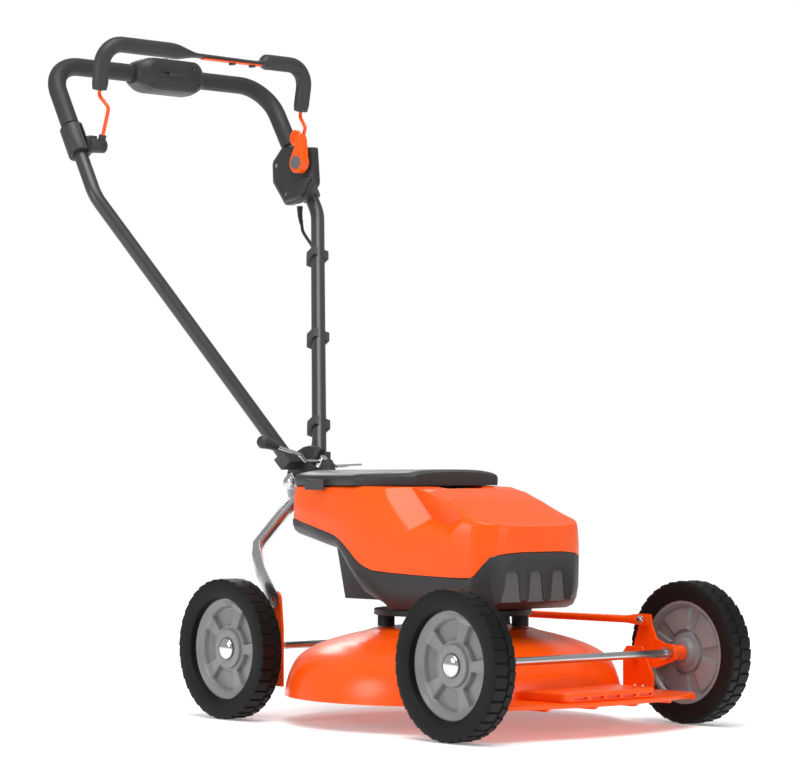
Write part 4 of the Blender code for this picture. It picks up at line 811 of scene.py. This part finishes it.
def rim(side, y, name):
    # both faces are heights over the radius; five windows are pressed into the outer face
    turn = np.linspace(0, 2 * np.pi, 320, endpoint=False)[:, None]
    r = np.concatenate([[0.0063, 0.0120, 0.0164, 0.0168, 0.0172, 0.0190, 0.0215],
                        np.linspace(0.0225, 0.0756, 62)])[None, :]
    dish = read(((0.0, 0.0035), (0.0168, 0.0035), (0.0172, 0.0052), (0.0282, 0.0052), (0.0292, 0.0046),
                 (0.0300, 0.0006), (0.0340, 0.0000), (0.0600, -0.0008), (0.0660, 0.0008),
                 (0.0700, 0.0040), (0.0722, 0.0062), (0.0734, 0.0074), (0.0756, 0.0070)), r)
    pitch = 2 * np.pi / wheel["windows"]
    off = np.mod(turn + pitch / 2, pitch) - pitch / 2
    arc = (math.radians(25.5) - np.abs(off)) * r
    inward = np.minimum(r - 0.0345, 0.0640 - r)
    edge = np.minimum(arc, inward)
    corner = np.hypot(np.clip(0.005 - arc, 0, None), np.clip(0.005 - inward, 0, None))
    edge = np.where(corner > 0.005, 0.005 - corner, np.minimum(edge, 0.005))
    face = dish - 0.0070 * smoothStep(edge, 0.0, 0.0020) + 0.0006 * np.exp(-((edge + 0.0009) / 0.0007) ** 2)
    dots = np.minimum(np.hypot((np.mod(turn + pitch / 2, pitch) - pitch / 2) * 0.0240, r - 0.0240), 1)
    face = face + 0.0008 * smoothStep(0.0019 - dots, 0, 0.0006)
    rBack = np.concatenate([np.linspace(0.0756, 0.0700, 5), np.linspace(0.068, 0.022, 46),
                            [0.0198, 0.0160, 0.0110, 0.0063]])[None, :]
    rear = read(((0.0, -0.018), (0.0160, -0.018), (0.0200, -0.0165), (0.0205, -0.0120), (0.0285, -0.0112),
                 (0.0295, -0.0065), (0.0640, -0.0065), (0.0690, -0.0095), (0.0715, -0.0158),
                 (0.0756, -0.0158)), rBack) + 0 * turn
    arcBack = (math.radians(25.5) - np.abs(off)) * rBack
    rear = rear - 0.0040 * smoothStep(np.minimum(arcBack, np.minimum(rBack - 0.0335, 0.0650 - rBack)),
                                      -0.0015, 0.0010)
    barrel = np.linspace(0.0064, -0.0150, 5)[None, :] + 0 * turn
    along = np.concatenate([face, barrel, rear], axis=1)
    radius = np.concatenate([r + 0 * turn, rimR + 0 * barrel, rBack + 0 * turn], axis=1)
    grid = np.stack([side * (trackHalf + along), y + radius * np.cos(turn),
                     wheelR + radius * np.sin(turn)], axis=-1)
    build("rim_disc_" + name, [surface(grid, True, True)], "wheel_" + name, "grey_plastic",
          ["rim_" + name], sharp=40)


for side, sideName in ((1, "left"), (-1, "right")):
    for end, axleY in (("front", frontAxleY), ("rear", rearAxleY)):
        tyre(side, axleY, end + "_" + sideName)
        rim(side, axleY, end + "_" + sideName)
print("wheels made")


# handle

def handle():
    # one tube through foot, bend and corner on both sides, and a sleeve over its upper loop
    foot = handleFoot + unit(handleBend - handleFoot) * gap
    path = arcs([foot * mirror, handleBend * mirror, handleCorner * mirror, handleCorner, handleBend,
                 foot], (0.08, 0.060, 0.060, 0.08), 14)
    path = spaced(path, 420)
    build("tube_frame", [sweep(path, tubeR, sides=32, side=(0, 1, 0.01), bulge=0.0002)], "handle",
          "tube_paint", ["handle_tube"])
    upper = [p for p in path if p[2] > 0.96]
    sleeve = np.array([upperTube(0.934, -1)] + upper + [upperTube(0.934, 1)])
    build("foam_sleeve", [sweep(sleeve, sleeveR, sides=36, side=(0, 1, 0.01), bulge=0.0012)], "handle",
          "black_rubber", ["grip_sleeve"])


def module():
    # eight-sided sections along the bar, swelling to a flat-topped case
    y, z = handleCorner[1] - 0.003, handleCorner[2] - 0.002
    stations = np.array([(-0.062, 0.50, 0.50, 0.0), (-0.0612, 0.56, 0.56, 0.0),
                         (-0.052, 0.84, 0.72, 0.05), (-0.040, 0.98, 0.93, 0.03), (-0.030, 1.0, 1.0, 0.0),
                         (0.050, 1.0, 1.0, 0.0), (0.056, 0.97, 0.94, 0.02), (0.064, 0.86, 0.78, 0.04),
                         (0.0752, 0.57, 0.56, 0.0), (0.076, 0.50, 0.50, 0.0)])
    corners = [(1.0, 0.30), (1.0, -0.50), (0.66, -0.97), (-0.66, -0.97), (-1.0, -0.50), (-1.0, 0.30),
               (-0.80, 0.88), (-0.55, 1.0), (0.55, 1.0), (0.86, 0.80)]
    section = spaced(cornerCut(np.array(corners + corners[:1]), 1), 73)[:-1]
    grid = np.stack([stations[:, :1] + 0 * section[:, 0], y + 0.0355 * stations[:, 1:2] * section[:, 0],
                     z + 0.0298 * (stations[:, 2:3] * section[:, 1] + stations[:, 3:])], axis=-1)
    centre = grid.mean(axis=1, keepdims=True)
    grid = np.concatenate([centre[:1] + 0 * grid[:1], grid, centre[-1:] + 0 * grid[:1]])
    case = build("control_case", [surface(grid, wrapColumns=True)], "handle", "dark_plastic",
                 ["control_module"])
    top = z + 0.030
    cutters = [revolve([(0, top - 0.007), (0.0088, top - 0.007), (0.0088, top + 0.01), (0, top + 0.01)],
                       "z", (0.005, y, 0), 32)]
    cutters += [block((-0.022, y - 0.045, z - 0.0005), (-0.010, y - 0.0325, z + 0.0045))]
    cutters += [revolve([(0, -0.05), (0.0021, -0.05), (0.0021, -0.0315), (0, -0.0315)], "y", (cx, y, cz),
                        16) for cx, cz in ((-0.040, z + 0.014), (0.040, z + 0.015), (-0.052, z - 0.014),
                                           (0.052, z - 0.012))]
    cut(case, cutters)
    bevelled(case, 0.0005, 2, 45)


def bail():
    # a grip that thins to a flat strip between its two ends, on two bent wires
    pivotLow = np.array((0.2016, 0.6325, 0.8990))
    gripEnd = np.array((0.2084, 0.6258, 0.9902))
    corner = np.array((0.2100, 0.6130, 1.0650))
    cy, cz = corner[1], corner[2]
    path = arcs([gripEnd * mirror, corner * mirror, (-0.078, cy, cz), (-0.030, cy + 0.001, cz - 0.003),
                 (0.100, cy + 0.002, cz - 0.004), (0.126, cy, cz), corner, gripEnd],
                (0.036, 0.02, 0.02, 0.01, 0.01, 0.036), 10)
    path = spaced(path, 260)
    x = path[:, 0]
    top = path[:, 2] > 1.0
    slim = smoothStep(x, -0.072, -0.020) * (1 - smoothStep(x, 0.108, 0.122)) * top
    thickHere = 0.0132 * (1 - slim) + 0.0040 * slim
    wideHere = 0.0132 * (1 - slim) + 0.0112 * slim
    taper = np.minimum(np.arange(260), np.arange(260)[::-1]) * (np.linalg.norm(path[1] - path[0]))
    shrink = 0.90 + 0.10 * smoothStep(taper, 0.0, 0.010)
    grip = [sweep(path, thickHere * shrink, wideHere * shrink, sides=28, side=(0, 1, 0.01), bulge=0.0022)]
    build("bail_bar", grip, "bail", "black_plastic", ["bail_grip"])
    strip = roundRectangle((-0.012, cy - 0.0080), (0.110, cy + 0.0050), 0.002)
    build("bail_strip", [plate(strip, "z", cz - 0.0088, cz - 0.0068)], "bail", "orange_plastic", bevel=0.0005)
    tabs = [plate(roundRectangle((tx - 0.0035, cy - 0.0075), (tx + 0.0035, cy + 0.004), 0.001), "z",
                  cz - 0.0125, cz - 0.0080) for tx in (0.050, 0.092)]
    build("bail_tabs", tabs, "bail", "black_plastic", bevel=0.0005)
    for side, sideName in ((-1, "right"), (1, "left")):
        pivot, end, bend = (p * (side, 1, 1) for p in (pivotLow, gripEnd, corner))
        way = unit(bend - end)
        legs = [pivot + (side * 0.013, 0, 0), pivot, pivot + (side * 0.002, -0.026, 0.060),
                end - way * 0.010, end + way * 0.020]
        wire = sweep(arcs(legs, (0.005, 0.009, 0.009), 8), 0.003, sides=16, side=(0.02, 1, 0.01),
                     bulge=0.0004)
        build("bail_leg_" + sideName, [wire], "bail", "orange_paint", ["bail_wire_" + sideName])


def controls():
    # the thumb lever with its paddle, ribs, insert and pin, and the switch box with its nose,
    # collar and screws
    y, z = 0.606, 0.898
    turn = np.radians(np.arange(150, 391, 12))
    hub = list(zip(y + 0.018 * np.cos(turn), z + 0.018 * np.sin(turn)))
    arm = [(y + 0.0125, z + 0.014), (y + 0.004, z + 0.030), (y + 0.000, z + 0.046),
           (y - 0.008, z + 0.050), (y - 0.0125, z + 0.040), (y - 0.0150, z + 0.020)]
    lever = build("thumb_arm", [plate(hub + arm, "x", 0.1815, 0.1975)], "thumb_lever", "orange_plastic",
                  ["thumb_lever"])
    bevelled(lever, 0.0022, 3)
    paddle = [(0, -0.0046), (0.0105, -0.0046), (0.0135, -0.0026), (0.0140, 0.0000), (0.0132, 0.0028),
              (0.0100, 0.0044), (0.0040, 0.0036), (0, 0.0036)]
    build("thumb_paddle", [revolve(paddle, "x", (0.1885, y + 0.008, z + 0.043), 40)], "thumb_lever",
          "orange_plastic")
    ribs = []
    for a in (-0.006, -0.002, 0.002, 0.006):
        low, high = y + 0.008 + a - 0.0006, y + 0.008 + a + 0.0006
        outline = [(low, z + 0.036), (high, z + 0.036), (high, z + 0.050), (low, z + 0.050)]
        ribs.append(plate(outline, "x", 0.1830, 0.1845))
    build("thumb_ribs", ribs, "thumb_lever", "orange_plastic", bevel=0.0003)
    insert = [(y + 0.0145 * np.cos(a), z + 0.0125 * np.sin(a)) for a in np.radians(np.arange(10, 370, 60))]
    build("thumb_insert", [plate(insert, "x", 0.1806, 0.1820)], "thumb_lever", "grey_plastic",
          look="insert_grey", bevel=0.0005)
    pin = disc(0.004, 0.1965, 0.2138)
    build("thumb_pin", [revolve(pin, "x", (0, y, z), 20)], "thumb_lever", "zinc_steel")
    outline = ((0.592, 0.925), (0.586, 0.862), (0.612, 0.836), (0.665, 0.830), (0.700, 0.872),
               (0.702, 0.908), (0.675, 0.932))
    middle = np.mean(outline, axis=0)
    layers = []
    for x, share in ((0.2012, 0.80), (0.2030, 0.90), (0.2065, 1.0), (0.2190, 1.0), (0.2225, 0.94)):
        ring = spaced(np.array(outline + outline[:1]), 57)[:-1]
        ring = middle + (ring - middle) * share
        layers.append(onAxis("x", np.full(len(ring), x), ring[:, 0], ring[:, 1]))
    layers = np.stack(layers)
    centre = layers.mean(axis=1, keepdims=True)
    layers = np.concatenate([centre[:1] + 0 * layers[:1], layers, centre[-1:] + 0 * layers[:1]])
    case = build("switch_case", [surface(layers, wrapColumns=True)], "handle", "dark_plastic",
                 ["switch_box"], sharp=20)
    bevelled(case, 0.0012, 2, 25)
    nose = [(0.588, 0.872), (0.612, 0.840), (0.660, 0.834), (0.640, 0.862), (0.604, 0.874)]
    build("switch_nose", [plate(nose, "x", 0.1945, 0.2040)], "handle", "dark_plastic", bevel=0.0030,
          segments=3)
    collar = np.array([upperTube(0.842), upperTube(0.925)])
    build("switch_collar", [sweep(spaced(collar, 8), 0.0165, sides=36, side=(0, 1, 0), bulge=0.0008)],
          "handle", "dark_plastic")
    screws = [revolve([(0, -0.0008), (0.0032, -0.0008), (0.0032, 0.0004), (0, 0.0004)], "x",
                      (0.2011, sy, sz), 20) for sy, sz in ((0.683, 0.900), (0.655, 0.848))]
    build("switch_screws", screws, "handle", "zinc_steel")


def bailMounts():
    # a hub on each pivot with a sloping socket for the wire
    for side, sideName in ((-1, "right"), (1, "left")):
        pivot = np.array((0.2016 * side, 0.6325, 0.8990))
        way = unit(np.array((side * 0.002, -0.026, 0.060)))
        reach = (0.1945, 0.2056) if side < 0 else (0.1975, 0.2010)
        hub = [(r, side * a) for r, a in disc(0.0115, reach[0], reach[1], 0.0012)]
        parts = [revolve(hub, "x", pivot * (0, 1, 1), 36)]
        parts.append(sweep(np.array([pivot + way * a for a in (0.004, 0.010, 0.0185)]),
                           [0.0062, 0.0064, 0.0060], sides=24, side=(1, 0, 0), bulge=0.0005))
        build("bail_hub_" + sideName, parts, "bail", "dark_plastic", bevel=0.0003)
    clamp = refined("bail_clamp", "dark_plastic", 0.0012, 3)
    frozen(clamp)
    tube = upperTube(0.9075, -1)
    slit = [block((tube[0] + 0.002, tube[1] - 0.030, 0.8800), (tube[0] + 0.0075, tube[1] - 0.004, 0.936))]
    cut(clamp, slit)
    bevelled(clamp, 0.0004, 2, 50)


handle()
module()
bail()
controls()
bailMounts()
print("handle made")


# metalwork and small pieces

def axle(name, y, body):
    # a bar, cranked backwards between the arms at the rear, with a domed cap and a collar at each side
    face = trackHalf + 0.0066
    if name == "front_axle":
        path = [(-face, y, wheelR), (face, y, wheelR)]
    else:
        path = arcs([(-face, y, wheelR), (-0.145, y, wheelR), (-0.115, y + 0.024, wheelR - 0.001),
                     (0.115, y + 0.024, wheelR - 0.001), (0.145, y, wheelR), (face, y, wheelR)],
                    (0.02,) * 4, 8)
    build(name + "_bar", [sweep(path, 0.006, sides=24, side=(0, 1, 0.01))], body, "zinc_steel", [name])
    caps = []
    for side in (-1, 1):
        dome = [(0, 0.0061), (0.0158, 0.0061), (0.0165, 0.0068)]
        dome += [(0.0165 * math.cos(a), 0.0072 + 0.0058 * math.sin(a)) for a in np.linspace(0, np.pi / 2, 9)]
        caps.append(revolve([(r, side * (trackHalf + along)) for r, along in dome], "x", (0, y, wheelR), 48))
    build(name + "_caps", caps, body, "zinc_steel", look="chrome")
    collar = [(0.006, 0.1765), (0.0095, 0.1765), (0.0095, 0.1795), (0.006, 0.1795)]
    collars = [revolve([(r, side * along) for r, along in collar], "x", (0, y, wheelR), 28, closed=True)
               for side in (-1, 1)]
    build(name + "_collars", collars, body, "zinc_steel")


axle("front_axle", frontAxleY, "front_arms")
axle("rear_axle", rearAxleY, "rear_arms")
for sideName in ("left", "right"):
    for node in ("front_arm_", "rear_arm_", "front_ear_", "rear_frame_"):
        refined(node + sideName, "orange_paint", 0.0007, 2)
    refined("strut_" + sideName, "zinc_steel", 0.0006, 2)
for node, slotName, bevel in (
    ("link_rod", "orange_paint", 0.0005),
    ("joint_disc", "dark_plastic", 0.0010),
    ("cable_clip_1", "dark_plastic", 0.0008),
    ("cable_clip_2", "dark_plastic", 0.0008),
    ("cable_clip_3", "dark_plastic", 0.0008),
    ("height_lever", "dark_plastic", 0.0005),
    ("lever_knob", "black_plastic", 0.0005),
    ("motor_mount", "black_casting", 0.0008),
    ("clamp_bolt", "zinc_steel", 0.0004),
    ("start_button", "black_rubber", 0.0006),
    ("battery_pack", "black_plastic", 0.0015),
    ("battery_bay", "dark_plastic", 0.0006),
    ("cutting_blade", "blade_steel", 0.0003),
    ("motor_controller", "dark_plastic", 0.0010),
    ("blade_holder", "motor_steel", 0.0003),
    ("blade_bolt", "motor_steel", 0.0004),
):
    refined(node, slotName, bevel)
refined("clamp_lever", "zinc_steel", 0.0004, 2, look="chrome")
arms = {"reach": 0.064, "pivotZ": 0.0995, "pinBack": 0.013, "pinRise": 0.0525, "face": 0.194}
for end, axleY in (("front", frontAxleY), ("rear", rearAxleY)):
    pivotY = axleY + arms["reach"]
    heads = [part for side in (-1, 1) for part in bolt("x", (side * arms["face"], pivotY, arms["pivotZ"]),
        0.0062, 0.0050, side)]
    build(end + "_pivot_bolts", heads, end + "_arms", "zinc_steel", bevel=0.0003)
    pinY, pinZ = pivotY - arms["pinBack"], arms["pivotZ"] + arms["pinRise"]
    build(end + "_pin_heads", bolt("x", (arms["face"], pinY, pinZ), 0.0055, 0.0040, 1), "link_rod",
          "zinc_steel", bevel=0.0003)
    if end == "front":
        nuts = bolt("x", (0.1795, pinY, pinZ), 0.0050, 0.0042, -1)
        build("link_nut", nuts, "link_rod", "zinc_steel", bevel=0.0003)
feet = []
for side in (-1, 1):
    for footY in (-0.222, -0.206):
        feet += bolt("z", (side * 0.1765, footY, 0.0533), 0.0042, 0.0034, 1)
build("ear_bolts", feet, "deck", "zinc_steel", bevel=0.0002)
print("metalwork made")
